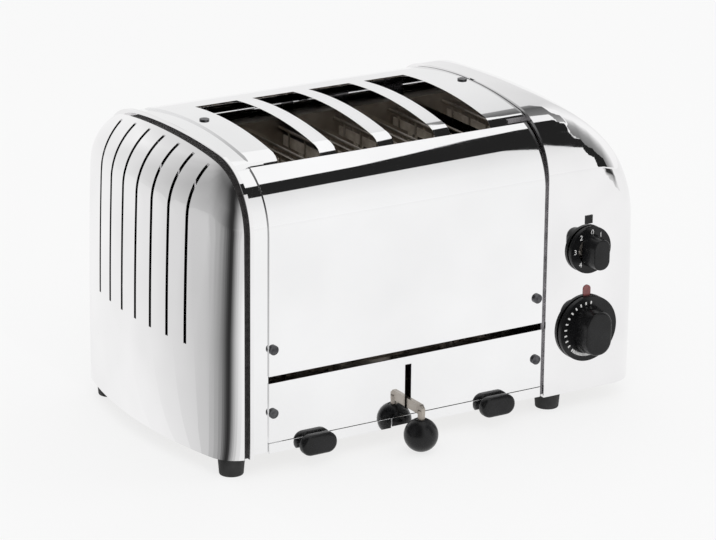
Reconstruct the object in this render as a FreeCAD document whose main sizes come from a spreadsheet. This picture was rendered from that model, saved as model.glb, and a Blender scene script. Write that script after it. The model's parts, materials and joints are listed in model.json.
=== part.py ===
import FreeCAD, Part
import math
import os

import Sketcher

V = FreeCAD.Vector

doc = FreeCAD.newDocument("toaster")

# Driving sizes in millimetres. The ends lie along X, the front faces -Y and the feet stand on Z = 0.
SIZES = [
    ("length", "360", "end face to end face"),
    ("casting_depth", "208", "front to back of the two end castings"),
    ("casting_top", "222", "crown of the castings above the table"),
    ("base_height", "14", "underside of the body above the table"),
    ("shoulder_radius", "48", "front and rear shoulder of the castings"),
    ("crown_radius", "394", "gentle crown of the castings"),
    ("roll_side", "22", "rolled upright corners of the castings"),
    ("roll_top", "45", "rolled top edge of the castings"),
    ("right_roll_top", "88", "wide roll from the crown to the end face of the right casting"),
    ("end_bow_radius", "366", "bow of the end faces seen from above"),
    ("end_rise_radius", "3000", "bow of the end faces seen from the front"),
    ("end_bow_middle", "60", "height where the end faces stand out most"),
    ("casting_wall", "4", "wall of the castings"),
    ("left_casting_width", "34", "width of the left casting at mid depth"),
    ("right_casting_width", "92", "width of the right casting at mid depth"),
    ("rim_width", "6.5", "flat rim round the open edge of the left casting"),
    ("rim_step", "2", "how far the rim stands out of the dome"),
    ("louvre_width", "3", "width of one louvre"),
    ("louvre_pitch", "20.4", "spacing of the louvres"),
    ("louvre_count", "7", "louvres in each end"),
    ("louvre_bottom", "88", "height where the louvres begin"),
    ("louvre_reach", "24.3", "end face to the inner end of the louvres"),
    ("sheet", "1.2", "thickness of the outer steel sheets"),
    ("skin_inset", "2.5", "panels behind the front of the castings"),
    ("skin_shoulder", "46", "shoulder radius of the panels"),
    ("skin_top", "213", "top of the circle that the shoulder of the panels follows"),
    ("cover_top", "220.8", "middle of the top cover"),
    ("cover_edge", "212.2", "front and rear crease of the top cover"),
    ("cover_half", "76", "crease of the top cover from the middle"),
    ("cover_margin", "13.6", "left casting to the top cover"),
    ("side_gap", "0.5", "top cover to the right casting"),
    ("panel_left_margin", "13.1", "left casting to the panels"),
    ("panel_right_margin", "1.5", "right casting to the panels"),
    ("panel_bottom", "22", "lower edge of the lower front panel"),
    ("seam_height", "66.7", "middle of the gap between the front panels"),
    ("seam_gap", "5", "gap between the front panels"),
    ("panel_screw_low", "42.9", "height of the lower panel screws"),
    ("panel_screw_high", "88", "height of the upper panel screws"),
    ("panel_screw_margin_left", "3.1", "left edge of the panel to its screws"),
    ("panel_screw_margin_right", "4.8", "right edge of the panel to its screws"),
    ("left_flange", "24", "width of the flanges of the left frame plate"),
    ("right_flange", "16", "width of the flanges of the right frame plate"),
    ("screw_radius", "1.9", "shank of the small screws"),
    ("screw_head_radius", "3.4", "head of the small screws"),
    ("screw_head", "1.6", "height of the heads of the small screws"),
    ("screw_length", "7", "shank length of the small screws"),
    ("slot_margin_left", "21.2", "left edge of the top cover to the first bread slot"),
    ("slot_margin_right", "30", "last bread slot to the right edge of the top cover"),
    ("slot_gap", "12.5", "top cover between two bread slots"),
    ("slot_back", "38.5", "rear ends of the bread slots from the middle"),
    ("lip", "9", "lips along the bread slots below the crease of the cover"),
    ("cover_screw_head", "0.9", "height of the heads of the top cover screws"),
    ("cover_screw_margin_left", "7.2", "left edge of the top cover to its left screw"),
    ("chamber_front", "74.5", "front inner plate from the middle"),
    ("chamber_back", "40.5", "rear inner plate from the middle"),
    ("inner_sheet", "0.8", "thickness of the inner sheets"),
    ("chamber_bottom", "24", "lower edge of the inner plates"),
    ("chamber_top", "200", "upper edge of the inner plates"),
    ("board_thickness", "1", "mica board of a heating element"),
    ("board_bottom", "40", "lower edge of the element boards"),
    ("board_top", "188", "upper edge of the element boards"),
    ("fit_gap", "0.3", "gap between pieces that fit into each other"),
    ("ribbon_width", "2", "width of the heating ribbon"),
    ("ribbon_thickness", "0.3", "thickness of the heating ribbon"),
    ("ribbon_count", "9", "turns of heating ribbon on a board"),
    ("ribbon_margin", "14", "outer turns from the edge of the board"),
    ("wire_radius", "0.8", "upright wires of the bread guards"),
    ("wire_rail_radius", "1.1", "rails of the bread guards"),
    ("wire_pitch", "22", "spacing of the upright guard wires"),
    ("wire_count", "5", "upright guard wires on each side of a slot"),
    ("guard_bottom", "46", "lower rail of the bread guards"),
    ("guard_top", "194", "upper rail of the bread guards"),
    ("rest_width", "12", "width of a bread rest"),
    ("rest_height", "60", "top of the bread rests when lowered"),
    ("rest_sheet", "1.2", "thickness of a bread rest"),
    ("lift_travel", "23", "travel of the lever and the bread rests"),
    ("lever_slot_width", "5", "width of the lever slot"),
    ("lever_slot_bottom", "26", "lower end of the lever slot"),
    ("lever_slot_margin", "1", "lever slot above the raised lever arm"),
    ("lever_thickness", "3", "thickness of the lever arm"),
    ("lever_height", "7", "height of the lever arm"),
    ("lever_bottom", "27.5", "underside of the lever arm when lowered"),
    ("ball_radius", "12", "lever ball"),
    ("ball_height", "13", "middle of the lever ball above the table"),
    ("ball_reach", "17.5", "panel face to the middle of the lever ball"),
    ("ball_stud_radius", "2.5", "stud of the lever arm inside the ball"),
    ("ball_stud_depth", "4", "stud end below the middle of the ball"),
    ("rod_radius", "3", "lift guide rods"),
    ("rod_setback", "88.5", "guide rods in front of the middle"),
    ("running_gap", "0.05", "radial gap of shafts and rods in their bores"),
    ("bush_radius", "6", "bushes of the lift carriage"),
    ("crossbar_height", "10", "height of the carriage crossbar"),
    ("crossbar_front", "82.5", "front face of the carriage crossbar"),
    ("bracket_sheet", "2", "thickness of the guide brackets"),
    ("bracket_bottom", "24.5", "underside of the lower guide bracket"),
    ("bracket_top", "112", "top of the upper guide bracket"),
    ("tray_floor", "0.8", "floor of the crumb tray"),
    ("tray_inset", "15", "panel edges to the sides of the crumb tray"),
    ("tray_height", "20.6", "top of the crumb tray walls"),
    ("tray_back", "66", "back of the crumb trays from the middle"),
    ("tray_lip_top", "21.6", "top of the lips of the crumb trays"),
    ("rail_half", "13", "half width of the rail between the crumb trays"),
    ("pull_width", "27", "crumb tray knobs"),
    ("pull_height", "14.5", "crumb tray knobs"),
    ("pull_depth", "8", "crumb tray knobs in front of the lip"),
    ("pull_margin_left", "35.9", "left edge of the panels to the left crumb tray knob"),
    ("pull_margin_right", "39", "right crumb tray knob to the right edge of the panels"),
    ("pull_middle", "16.5", "height of the crumb tray knobs"),
    ("foot_radius", "9.5", "feet"),
    ("foot_setback", "88", "feet from the middle, front and back"),
    ("foot_inset_left", "25.7", "left end face to the left feet"),
    ("foot_inset_right", "78.1", "right feet to the right end face"),
    ("boss_radius", "5.5", "screw bosses inside the castings"),
    ("boss_height", "22", "height of the screw bosses"),
    ("foot_screw_radius", "2", "screws through the feet"),
    ("foot_screw_length", "14", "thread above the head of a foot screw"),
    ("dials_margin", "34", "inner edge of the right casting to the middle of the dials"),
    ("timer_height", "60.5", "middle of the timer dial"),
    ("timer_knob_radius", "24.3", "timer dial"),
    ("timer_grip_width", "20", "grip of the timer dial"),
    ("timer_grip_length", "33", "grip of the timer dial"),
    ("selector_rise", "58", "middle of the timer dial to the middle of the selector dial"),
    ("selector_knob_radius", "17.3", "selector dial"),
    ("selector_grip_width", "13", "grip of the selector dial"),
    ("selector_grip_length", "23", "grip of the selector dial"),
    ("knob_gap", "1", "casting to the back of the dials"),
    ("skirt", "6", "skirt of the dials"),
    ("grip", "11", "grip of the dials in front of the skirt"),
    ("shaft_radius", "3", "dial shafts"),
    ("neck_radius", "4.8", "threaded necks of the timer and the switch"),
    ("neck_reach", "3", "necks in front of the casting"),
    ("nut_width", "14", "across the flats of the neck nuts"),
    ("nut_thickness", "2.5", "neck nuts"),
    ("knob_hollow_radius", "10", "hollow behind the dials for the nuts"),
    ("shaft_end", "22", "shafts behind the front of the casting"),
    ("timer_size", "40", "clockwork case, width and height"),
    ("timer_depth", "42", "clockwork case, front to back"),
    ("switch_size", "34", "selector switch, width and height"),
    ("switch_depth", "26", "selector switch, front to back"),
    ("selector_mark_rise", "21.5", "middle of the selector dial to the selector mark"),
    ("lamp_rise", "27", "middle of the timer dial to the lamp lens"),
    ("mark_width", "6", "selector mark and lamp lens"),
    ("mark_thickness", "0.6", "selector mark and lamp lens"),
    ("lamp_length", "9", "height of the lamp lens"),
    ("lamp_body_radius", "2.5", "lamp behind the lens"),
    ("lamp_body_length", "16", "lamp behind the lens"),
    ("terminal_width", "40", "terminal block along X"),
    ("terminal_depth", "18", "terminal block along Y"),
    ("terminal_height", "16", "terminal block"),
    ("gland_height", "40", "middle of the cord gland"),
    ("gland_radius", "7", "cord gland in the wall"),
    ("gland_flange_radius", "10", "flange of the cord gland"),
    ("gland_flange", "3", "flange of the cord gland outside the wall"),
    ("gland_bore_radius", "4", "hole for the supply cord"),
    ("gland_tail", "8", "cord gland inside the wall"),
    ("bus_height", "5", "link bars between the element boards"),
]

sheet = doc.addObject("Spreadsheet::Sheet", "Sizes")
for row, (alias, number, meaning) in enumerate(SIZES, start=1):
    sheet.set("A%d" % row, alias)
    sheet.set("B%d" % row, number)
    sheet.setAlias("B%d" % row, alias)
    sheet.set("C%d" % row, meaning)
doc.recompute()


class Size:
    """A length that knows both its number and the sheet formula that it comes from."""

    def __init__(self, number, text):
        self.number = number
        self.text = text

    def __add__(self, other):
        return joined(self, other, "+", self.number + number(other))

    def __radd__(self, other):
        return joined(other, self, "+", number(other) + self.number)

    def __sub__(self, other):
        return joined(self, other, "-", self.number - number(other))

    def __rsub__(self, other):
        return joined(other, self, "-", number(other) - self.number)

    def __mul__(self, other):
        return joined(self, other, "*", self.number * number(other))

    def __rmul__(self, other):
        return joined(other, self, "*", number(other) * self.number)

    def __truediv__(self, other):
        return joined(self, other, "/", self.number / number(other))

    def __neg__(self):
        return Size(-self.number, "(0 - %s)" % self.text)

    def __float__(self):
        return float(self.number)


def number(value):
    return value.number if isinstance(value, Size) else float(value)


def text(value):
    return value.text if isinstance(value, Size) else "(%.6g)" % value


def joined(left, right, sign, result):
    return Size(result, "(%s %s %s)" % (text(left), sign, text(right)))


def root(area):
    return Size(math.sqrt(area.number), "sqrt(%s)" % area.text)


class Sheet:
    """The aliased cells of the sheet, read as sizes."""

    def __getattr__(self, alias):
        return Size(float(sheet.get(alias)), "Sizes." + alias)


s = Sheet()

SLOTS = 4

# Places that several pieces share.
left_inner = -s.length / 2 + s.left_casting_width
right_inner = s.length / 2 - s.right_casting_width
casting_front = s.casting_depth / 2
skin_front = casting_front - s.skin_inset
skin_spring = s.skin_top - s.skin_shoulder
panel_left = left_inner + s.panel_left_margin
panel_right = right_inner - s.panel_right_margin
cover_left = left_inner + s.cover_margin
cover_right = right_inner - s.side_gap
base_top = s.base_height + s.sheet
crossbar_top = s.rest_height - s.rest_sheet
crossbar_bottom = crossbar_top - s.crossbar_height
chamber_middle = (s.chamber_back - s.chamber_front) / 2
chamber_half = (s.chamber_front + s.chamber_back) / 2
chamber_face = s.chamber_front + s.inner_sheet
skin_centre = skin_front - s.skin_shoulder
frame_left = left_inner + s.sheet
frame_right = right_inner - s.sheet
lever_slot_top = s.lever_bottom + s.lever_height + s.lift_travel + s.lever_slot_margin
tray_bottom = base_top + s.fit_gap
lip_front = skin_front + s.fit_gap
ball_front = skin_front + s.ball_reach
lower_panel_top = s.seam_height - s.seam_gap / 2
upper_panel_bottom = s.seam_height + s.seam_gap / 2
screw_left = panel_left + s.panel_screw_margin_left
screw_right = panel_right - s.panel_screw_margin_right
cover_screw_left = cover_left + s.cover_screw_margin_left
cover_screw_right = cover_right - s.panel_screw_margin_right
slots_span = cover_right - s.slot_margin_right - cover_left - s.slot_margin_left
slot_width = (slots_span - (SLOTS - 1) * s.slot_gap) / SLOTS
slot_pitch = slot_width + s.slot_gap
slots_middle = cover_left + s.slot_margin_left + slots_span / 2
lever_middle = (panel_left + panel_right) / 2
foot_left = s.foot_inset_left - s.length / 2
foot_right = s.length / 2 - s.foot_inset_right
dials_middle = right_inner + s.dials_margin
selector_height = s.timer_height + s.selector_rise
lamp_height = s.timer_height + s.lamp_rise
mark_height = selector_height + s.selector_mark_rise
level = 0 * s.length

nodes = {}


def keep(label, item):
    """Gives the finished object its label and puts it on the list of nodes."""
    item.Label = label
    nodes[label] = item
    return item


def bind(item, **sizes):
    for name, size in sizes.items():
        item.setExpression(name, text(size))


def place(item, x, y, z):
    item.setExpression("Placement.Base.x", text(x))
    item.setExpression("Placement.Base.y", text(y))
    item.setExpression("Placement.Base.z", text(z))


def new_body(label):
    return keep(label, doc.addObject("PartDesign::Body", "body_" + label))


def new_sketch(body, role, shift=0):
    """A sketch on one of the body's own planes, moved along the normal of the plane."""
    base = [plane for plane in body.Origin.OriginFeatures if plane.Role == role][0]
    sketch = body.newObject("Sketcher::SketchObject", body.Label + "_sketch")
    sketch.AttachmentSupport = [(base, "")]
    sketch.MapMode = "FlatFace"
    sketch.setExpression("AttachmentOffset.Base.z", text(shift))
    return sketch


def fix_point(sketch, geometry, position, point):
    for name, size in (("DistanceX", point[0]), ("DistanceY", point[1])):
        fix_coordinate(sketch, name, geometry, position, size)


def fix_coordinate(sketch, name, geometry, position, size):
    index = sketch.addConstraint(Sketcher.Constraint(name, geometry, position, number(size)))
    sketch.setExpression("Constraints[%d]" % index, text(size))


def draw_outline(sketch, points, centres=None):
    """Closes an outline through the points. A side with a centre is an arc round it."""
    centres = centres or {}
    sides = []
    for index, point in enumerate(points):
        following = points[(index + 1) % len(points)]
        begin = V(number(point[0]), number(point[1]), 0)
        end = V(number(following[0]), number(following[1]), 0)
        if index not in centres:
            sides.append((sketch.addGeometry(Part.LineSegment(begin, end)), 1, 2))
            continue
        centre = V(number(centres[index][0]), number(centres[index][1]), 0)
        angles = [math.atan2(p.y - centre.y, p.x - centre.x) for p in (begin, end)]
        circle = Part.Circle(centre, V(0, 0, 1), (begin - centre).Length)
        half_turn = math.pi + 1e-6
        if (angles[1] - angles[0]) % (2 * math.pi) < half_turn:
            sides.append((sketch.addGeometry(Part.ArcOfCircle(circle, angles[0], angles[1])), 1, 2))
        else:
            sides.append((sketch.addGeometry(Part.ArcOfCircle(circle, angles[1], angles[0])), 2, 1))
    for index, (side, first, last) in enumerate(sides):
        following = sides[(index + 1) % len(sides)]
        sketch.addConstraint(Sketcher.Constraint("Coincident", side, last, following[0], following[1]))
        fix_point(sketch, side, first, points[index])
        if index in centres:
            end = points[(index + 1) % len(points)]
            wide = abs(number(end[0]) - number(points[index][0]))
            high = abs(number(end[1]) - number(points[index][1]))
            if wide >= high:
                fix_coordinate(sketch, "DistanceY", side, 3, centres[index][1])
            else:
                fix_coordinate(sketch, "DistanceX", side, 3, centres[index][0])


def draw_rectangle(sketch, left, bottom, right, top):
    draw_outline(sketch, [(left, bottom), (right, bottom), (right, top), (left, top)])


def draw_circle(sketch, x, y, radius):
    circle = Part.Circle(V(number(x), number(y), 0), V(0, 0, 1), number(radius))
    index = sketch.addGeometry(circle)
    fix_point(sketch, index, 3, (x, y))
    rule = sketch.addConstraint(Sketcher.Constraint("Radius", index, number(radius)))
    sketch.setExpression("Constraints[%d]" % rule, text(radius))


def pad(body, sketch, length, reverse=False):
    feature = body.newObject("PartDesign::Pad", body.Label + "_pad")
    feature.Profile = sketch
    feature.Reversed = reverse
    bind(feature, Length=length)
    body.Tip = feature
    return feature


def pocket(body, sketch, length, reverse=False):
    """Cuts the sketch into the body and makes sure that material went away."""
    doc.recompute()
    before = body.Tip.Shape.Volume
    feature = body.newObject("PartDesign::Pocket", body.Label + "_pocket")
    feature.Profile = sketch
    feature.Reversed = reverse
    bind(feature, Length=length)
    body.Tip = feature
    doc.recompute()
    if feature.Shape.Volume >= before - 1e-3:
        raise ValueError("nothing was cut from " + body.Label)
    return feature


def box(x0, y0, z0, x1, y1, z1):
    item = doc.addObject("Part::Box", "box")
    bind(item, Length=x1 - x0, Width=y1 - y0, Height=z1 - z0)
    place(item, x0, y0, z0)
    return item


def cylinder(x, y, z, radius, height, towards=V(0, 0, 1)):
    item = doc.addObject("Part::Cylinder", "cylinder")
    item.Placement = FreeCAD.Placement(V(0, 0, 0), FreeCAD.Rotation(V(0, 0, 1), towards))
    bind(item, Radius=radius, Height=height)
    place(item, x, y, z)
    return item


def fused(items):
    if len(items) == 1:
        return items[0]
    item = doc.addObject("Part::MultiFuse", "fuse")
    item.Shapes = items
    return item


def cut(base, tools):
    item = doc.addObject("Part::Cut", "cut")
    item.Base = base
    item.Tool = fused(tools)
    return item


def group(items):
    """Separate solids that share one node, such as a set of screws."""
    item = doc.addObject("Part::Compound", "group")
    item.Links = items
    return item


FRONTWARD = V(0, -1, 0)
REARWARD = V(0, 1, 0)


def skin_points(inset, bottom):
    """Half round outline of the steel skin in the YZ plane, from the front foot to the rear foot."""
    front = skin_front - inset
    crease = s.cover_half - inset
    low = shoulder_height(inset, crease)
    high = s.cover_edge - inset
    points = [(-front, bottom), (-front, skin_spring), (-crease, low), (-crease, high),
              (crease, high), (crease, low), (front, skin_spring), (front, bottom)]
    centres = {1: (-skin_centre, skin_spring), 3: (0, cover_centre(inset)), 5: (skin_centre, skin_spring)}
    return points, centres


def shoulder_height(inset, y):
    """Height of the rounded shoulder of the skin at a distance from its middle."""
    radius = s.skin_shoulder - inset
    side = y - skin_centre
    return skin_spring + root(radius * radius - side * side)


def cover_centre(inset):
    """Height of the centre of the crown arc of the top cover."""
    rise = s.cover_top - s.cover_edge
    half = s.cover_half - inset
    return s.cover_top - inset - (half * half + rise * rise) / (2 * rise)


def crown_height(inset, y):
    """Height of the crown of the top cover at a distance from its middle."""
    centre = cover_centre(inset)
    radius = s.cover_top - inset - centre
    return centre + root(radius * radius - y * y)


def arch_face(x, half_depth, top, bottom, shoulder):
    """Outline of a casting in the YZ plane: upright sides, round shoulders and a crowned top."""
    crown = number(s.crown_radius)
    inner = half_depth - shoulder
    spring = top - crown + math.sqrt((crown - shoulder) ** 2 - inner ** 2)
    turn = math.pi / 2 - math.asin(inner / (crown - shoulder))

    def on_shoulder(side, angle):
        return V(x, side * (inner + shoulder * math.cos(angle)), spring + shoulder * math.sin(angle))

    edges = [
        Part.LineSegment(V(x, -half_depth, bottom), V(x, -half_depth, spring)),
        Part.Arc(on_shoulder(-1, 0), on_shoulder(-1, turn / 2), on_shoulder(-1, turn)),
        Part.Arc(on_shoulder(-1, turn), V(x, 0, top), on_shoulder(1, turn)),
        Part.Arc(on_shoulder(1, turn), on_shoulder(1, turn / 2), on_shoulder(1, 0)),
        Part.LineSegment(V(x, half_depth, spring), V(x, half_depth, bottom)),
        Part.LineSegment(V(x, half_depth, bottom), V(x, -half_depth, bottom))]
    return Part.Face(Part.Wire([edge.toShape() for edge in edges]))


def end_barrel(end, low, high):
    """Solid whose bowed side is the end face of a casting: an arc turned about an upright axis."""
    rise = number(s.end_rise_radius)
    middle = number(s.end_bow_middle)
    axis = end - number(s.end_bow_radius)

    def on_side(z):
        reach = end - axis - rise + math.sqrt(rise ** 2 - (z - middle) ** 2)
        return V(axis - reach, 0, z)

    edges = [Part.Arc(on_side(low), on_side(middle), on_side(high)),
             Part.LineSegment(on_side(high), V(axis, 0, high)),
             Part.LineSegment(V(axis, 0, high), V(axis, 0, low)),
             Part.LineSegment(V(axis, 0, low), on_side(low))]
    face = Part.Face(Part.Wire([edge.toShape() for edge in edges]))
    solid = face.revolve(V(axis, 0, 0), V(0, 0, 1), 360)
    if solid.Volume < 0:
        solid.reverse()
    return solid


def dome(name, end_inset, inset):
    """Domed end towards +X, its side and top edges rolled over, and set in from the casting's size."""
    end = number(s.length / 2 - end_inset)
    half_depth = number(casting_front - inset)
    top = number(s.casting_top - inset)
    shoulder = number(s.shoulder_radius - inset)
    bottom = number(s.base_height - inset)
    start = number(right_inner - s.casting_wall)
    arch = arch_face(start, half_depth, top, bottom, shoulder).extrude(V(end + shoulder - start, 0, 0))
    blank = doc.addObject("Part::Feature", name + "_blank")
    blank.Shape = arch.common(end_barrel(end, bottom - shoulder, top + shoulder))
    rolls = (number(s.roll_side - inset), number(s.roll_top - inset))
    rolled = []
    for index, edge in enumerate(blank.Shape.Edges, start=1):
        bounds = edge.BoundBox
        if bounds.XMin > start + 1 and bounds.ZMax > bottom + 1:
            heights = [edge.valueAt(at).z for at in edge.ParameterRange]
            radii = [rolls[height > top - shoulder / 2] for height in heights]
            rolled.append((index, radii[0], radii[1]))
    roll = doc.addObject("Part::Fillet", name + "_roll")
    roll.Base = blank
    roll.Edges = rolled
    doc.recompute()
    return roll.Shape


def crown_drum(end_inset, inset):
    """Upright drum with a wide roll round its top, which the right casting's end is cut down to."""
    end = number(s.length / 2 - end_inset)
    top = number(s.casting_top - inset)
    radius = number(s.right_roll_top - inset)
    axis = end - number(s.end_bow_radius)
    margin = number(s.fit_gap)
    slope = math.sqrt(0.5)
    middle = V(end - radius, 0, top - radius)
    reach = radius + margin
    upper = middle + V(0, 0, reach)
    outer = middle + V(reach, 0, 0)
    bend = middle + V(reach * slope, 0, reach * slope)
    corners = [outer, V(outer.x, 0, 0), V(axis, 0, 0), V(axis, 0, upper.z), upper]
    edges = [Part.LineSegment(start, finish) for start, finish in zip(corners, corners[1:])]
    edges.append(Part.Arc(upper, bend, outer))
    face = Part.Face(Part.Wire([edge.toShape() for edge in edges]))
    solid = face.revolve(V(axis, 0, 0), V(0, 0, 1), 360)
    if solid.Volume < 0:
        solid.reverse()
    return solid


def beyond(x):
    """Everything further out than a plane across X."""
    size = number(2 * s.length)
    return Part.makeBox(size, size, size, V(number(x), -size / 2, -size / 2))


def rim_band():
    """Flat rim round the open edge of a casting, a step prouder than its dome."""
    inner = -left_inner
    face = arch_face(number(inner), number(casting_front), number(s.casting_top),
                     number(s.base_height), number(s.shoulder_radius))
    return face.extrude(V(number(s.rim_width), 0, 0))


def louvre_cuts():
    """Upright slots through the end wall that run up over the rolled edge."""
    count = int(number(s.louvre_count))
    width = number(s.louvre_width)
    start = number(s.length / 2 - s.louvre_reach)
    tools = []
    for index in range(count):
        y = (index - (count - 1) / 2) * number(s.louvre_pitch)
        corner = V(start, y - width / 2, number(s.louvre_bottom))
        tools.append(Part.makeBox(number(s.louvre_reach) + 1, width, number(s.casting_top), corner))
    return tools


def casting(outer, cavity, foot_x, holes):
    """Hollow end casting towards +X, open at the bottom and towards the middle of the body."""
    shell = outer.cut(cavity)
    bottom = number(base_top)
    height = number(s.boss_height)
    radius = number(s.boss_radius)
    middle = number(s.foot_setback)
    rib_length = number(casting_front - 0.75 * s.casting_wall - s.foot_setback)
    for side in (-1, 1):
        foot = V(foot_x, side * middle, bottom)
        post = Part.makeCylinder(radius, height, foot)
        rib = Part.makeBox(radius, rib_length, height, V(foot_x - radius / 2, 0, bottom))
        rib.translate(V(0, middle if side > 0 else -middle - rib_length, 0))
        hole = Part.makeCylinder(number(s.foot_screw_radius + s.running_gap), height, foot)
        shell = shell.fuse(post.fuse(rib)).cut(hole)
    return shell.cut(louvre_cuts() + holes)


def left_end_casting():
    outer = dome("left", level, s.rim_step).common(beyond(-left_inner + s.rim_width))
    cavity = dome("left_cavity", s.casting_wall, s.casting_wall + s.rim_step)
    whole = outer.common(above_base()).fuse(rim_band())
    item = doc.addObject("Part::Feature", "left_casting")
    item.Shape = casting(whole, cavity, number(-foot_left), []).mirror(V(0, 0, 0), V(1, 0, 0))
    return keep("left_end_casting", item)


def right_end_casting():
    outer = dome("right", level, level).common(crown_drum(level, level)).common(beyond(right_inner))
    wall = s.casting_wall
    cavity = dome("right_cavity", wall, wall).common(crown_drum(wall, wall))
    front = -number(casting_front)
    reach = number(s.casting_wall * 2)
    holes = []
    for height in (s.timer_height, selector_height):
        centre = V(number(dials_middle), front - 1, number(height))
        holes.append(Part.makeCylinder(number(s.neck_radius + s.fit_gap), reach, centre, REARWARD))
    lamp = V(number(dials_middle), front - 1, number(lamp_height))
    holes.append(Part.makeCylinder(number(s.lamp_body_radius + s.fit_gap), reach, lamp, REARWARD))
    gland = V(number(dials_middle), -front + 1, number(s.gland_height))
    holes.append(Part.makeCylinder(number(s.gland_radius + s.fit_gap), reach, gland, FRONTWARD))
    item = doc.addObject("Part::Feature", "right_casting")
    item.Shape = casting(outer.common(above_base()), cavity, number(foot_right), holes)
    return keep("right_end_casting", item)


def above_base():
    """Everything above the underside of the body."""
    size = number(2 * s.length)
    return Part.makeBox(size, size, size, V(-size / 2, -size / 2, number(s.base_height)))


def frame_plate(label, outer_face, flange, screw_x, cover_screw_x, inwards):
    """Upright plate beside a casting with a flange bent inwards behind the panels and the cover."""
    plate = new_body(label)
    profile = new_sketch(plate, "YZ_Plane", outer_face)
    draw_outline(profile, *skin_points(s.sheet, base_top))
    pad(plate, profile, flange, reverse=not inwards)
    hollow_start = outer_face + s.sheet if inwards else outer_face - s.sheet
    hollow = new_sketch(plate, "YZ_Plane", hollow_start)
    draw_outline(hollow, *skin_points(2 * s.sheet, base_top))
    pocket(plate, hollow, flange, reverse=inwards)
    panel_holes = new_sketch(plate, "XZ_Plane", skin_front)
    for height in (s.panel_screw_low, s.panel_screw_high):
        draw_circle(panel_holes, screw_x, height, s.screw_radius + s.running_gap)
    pocket(plate, panel_holes, 2 * skin_front)
    cover_hole = new_sketch(plate, "XY_Plane", s.cover_top)
    draw_circle(cover_hole, cover_screw_x, level, s.screw_radius + s.running_gap)
    pocket(plate, cover_hole, s.cover_top - s.cover_edge)
    notch = new_sketch(plate, "XZ_Plane", skin_front)
    low = s.seam_height - s.seam_gap
    high = s.seam_height + s.seam_gap
    if inwards:
        draw_rectangle(notch, panel_left, low, outer_face + flange + s.sheet, high)
    else:
        draw_rectangle(notch, outer_face - flange - s.sheet, low, panel_right, high)
    pocket(plate, notch, 3 * s.sheet)


def skin_sheet(label, side, bottom):
    """Bent panel: upright face and a round shoulder that ends at the crease of the top cover."""
    panel = new_body(label)
    profile = new_sketch(panel, "YZ_Plane", panel_left)
    front = side * skin_front
    centre = side * skin_centre
    crease = side * s.cover_half
    inner = side * (skin_front - s.sheet)
    points = [(front, bottom), (front, skin_spring), (crease, shoulder_height(level, s.cover_half)),
              (crease, shoulder_height(s.sheet, s.cover_half)), (inner, skin_spring), (inner, bottom)]
    draw_outline(profile, points, {1: (centre, skin_spring), 3: (centre, skin_spring)})
    pad(panel, profile, panel_right - panel_left)
    return panel


def front_upper_panel():
    panel = skin_sheet("front_upper_panel", -1, upper_panel_bottom)
    holes = new_sketch(panel, "XZ_Plane", skin_front + s.sheet)
    for x in (screw_left, screw_right):
        draw_circle(holes, x, s.panel_screw_high, s.screw_radius + s.running_gap)
    pocket(panel, holes, 3 * s.sheet)


def rear_panel():
    panel = skin_sheet("rear_panel", 1, base_top)
    holes = new_sketch(panel, "XZ_Plane", 2 * s.sheet - skin_front)
    for x in (screw_left, screw_right):
        for height in (s.panel_screw_low, s.panel_screw_high):
            draw_circle(holes, x, height, s.screw_radius + s.running_gap)
    pocket(panel, holes, 3 * s.sheet)


def front_lower_panel():
    panel = new_body("front_lower_panel")
    face = new_sketch(panel, "XZ_Plane", skin_front)
    draw_rectangle(face, panel_left, s.panel_bottom, panel_right, lower_panel_top)
    pad(panel, face, s.sheet, reverse=True)
    openings = new_sketch(panel, "XZ_Plane", skin_front + s.sheet)
    half = s.lever_slot_width / 2
    draw_rectangle(openings, lever_middle - half, s.lever_slot_bottom, lever_middle + half,
                   lever_slot_top)
    for x in (screw_left, screw_right):
        draw_circle(openings, x, s.panel_screw_low, s.screw_radius + s.running_gap)
    pocket(panel, openings, 3 * s.sheet)


def base_plate():
    """Flat bottom of the body between the walls of the two castings, with rounded corners."""
    left = foot_left - s.foot_radius + s.fit_gap
    half = casting_front - 2 * s.casting_wall
    plate = new_body("base_plate")
    outline = new_sketch(plate, "XY_Plane", s.base_height)
    draw_rectangle(outline, left, -half, -left, half)
    edge = pad(plate, outline, s.sheet)
    doc.recompute()
    upright = ["Edge%d" % index for index, item in enumerate(edge.Shape.Edges, start=1)
               if item.BoundBox.ZLength > number(s.sheet) / 2]
    rounding = plate.newObject("PartDesign::Fillet", "base_corners")
    rounding.Base = (edge, upright)
    bind(rounding, Radius=s.roll_side - 2 * s.casting_wall)
    plate.Tip = rounding
    holes = new_sketch(plate, "XY_Plane", base_top + s.sheet)
    for x in (foot_left, foot_right):
        for y in (-s.foot_setback, s.foot_setback):
            draw_circle(holes, x, y, s.foot_screw_radius + s.running_gap)
    pocket(plate, holes, 3 * s.sheet)


def slot_middle(index):
    return slots_middle + (index - (SLOTS - 1) / 2) * slot_pitch


def board_middle(index):
    return slots_middle + (index - SLOTS / 2) * slot_pitch


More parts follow.
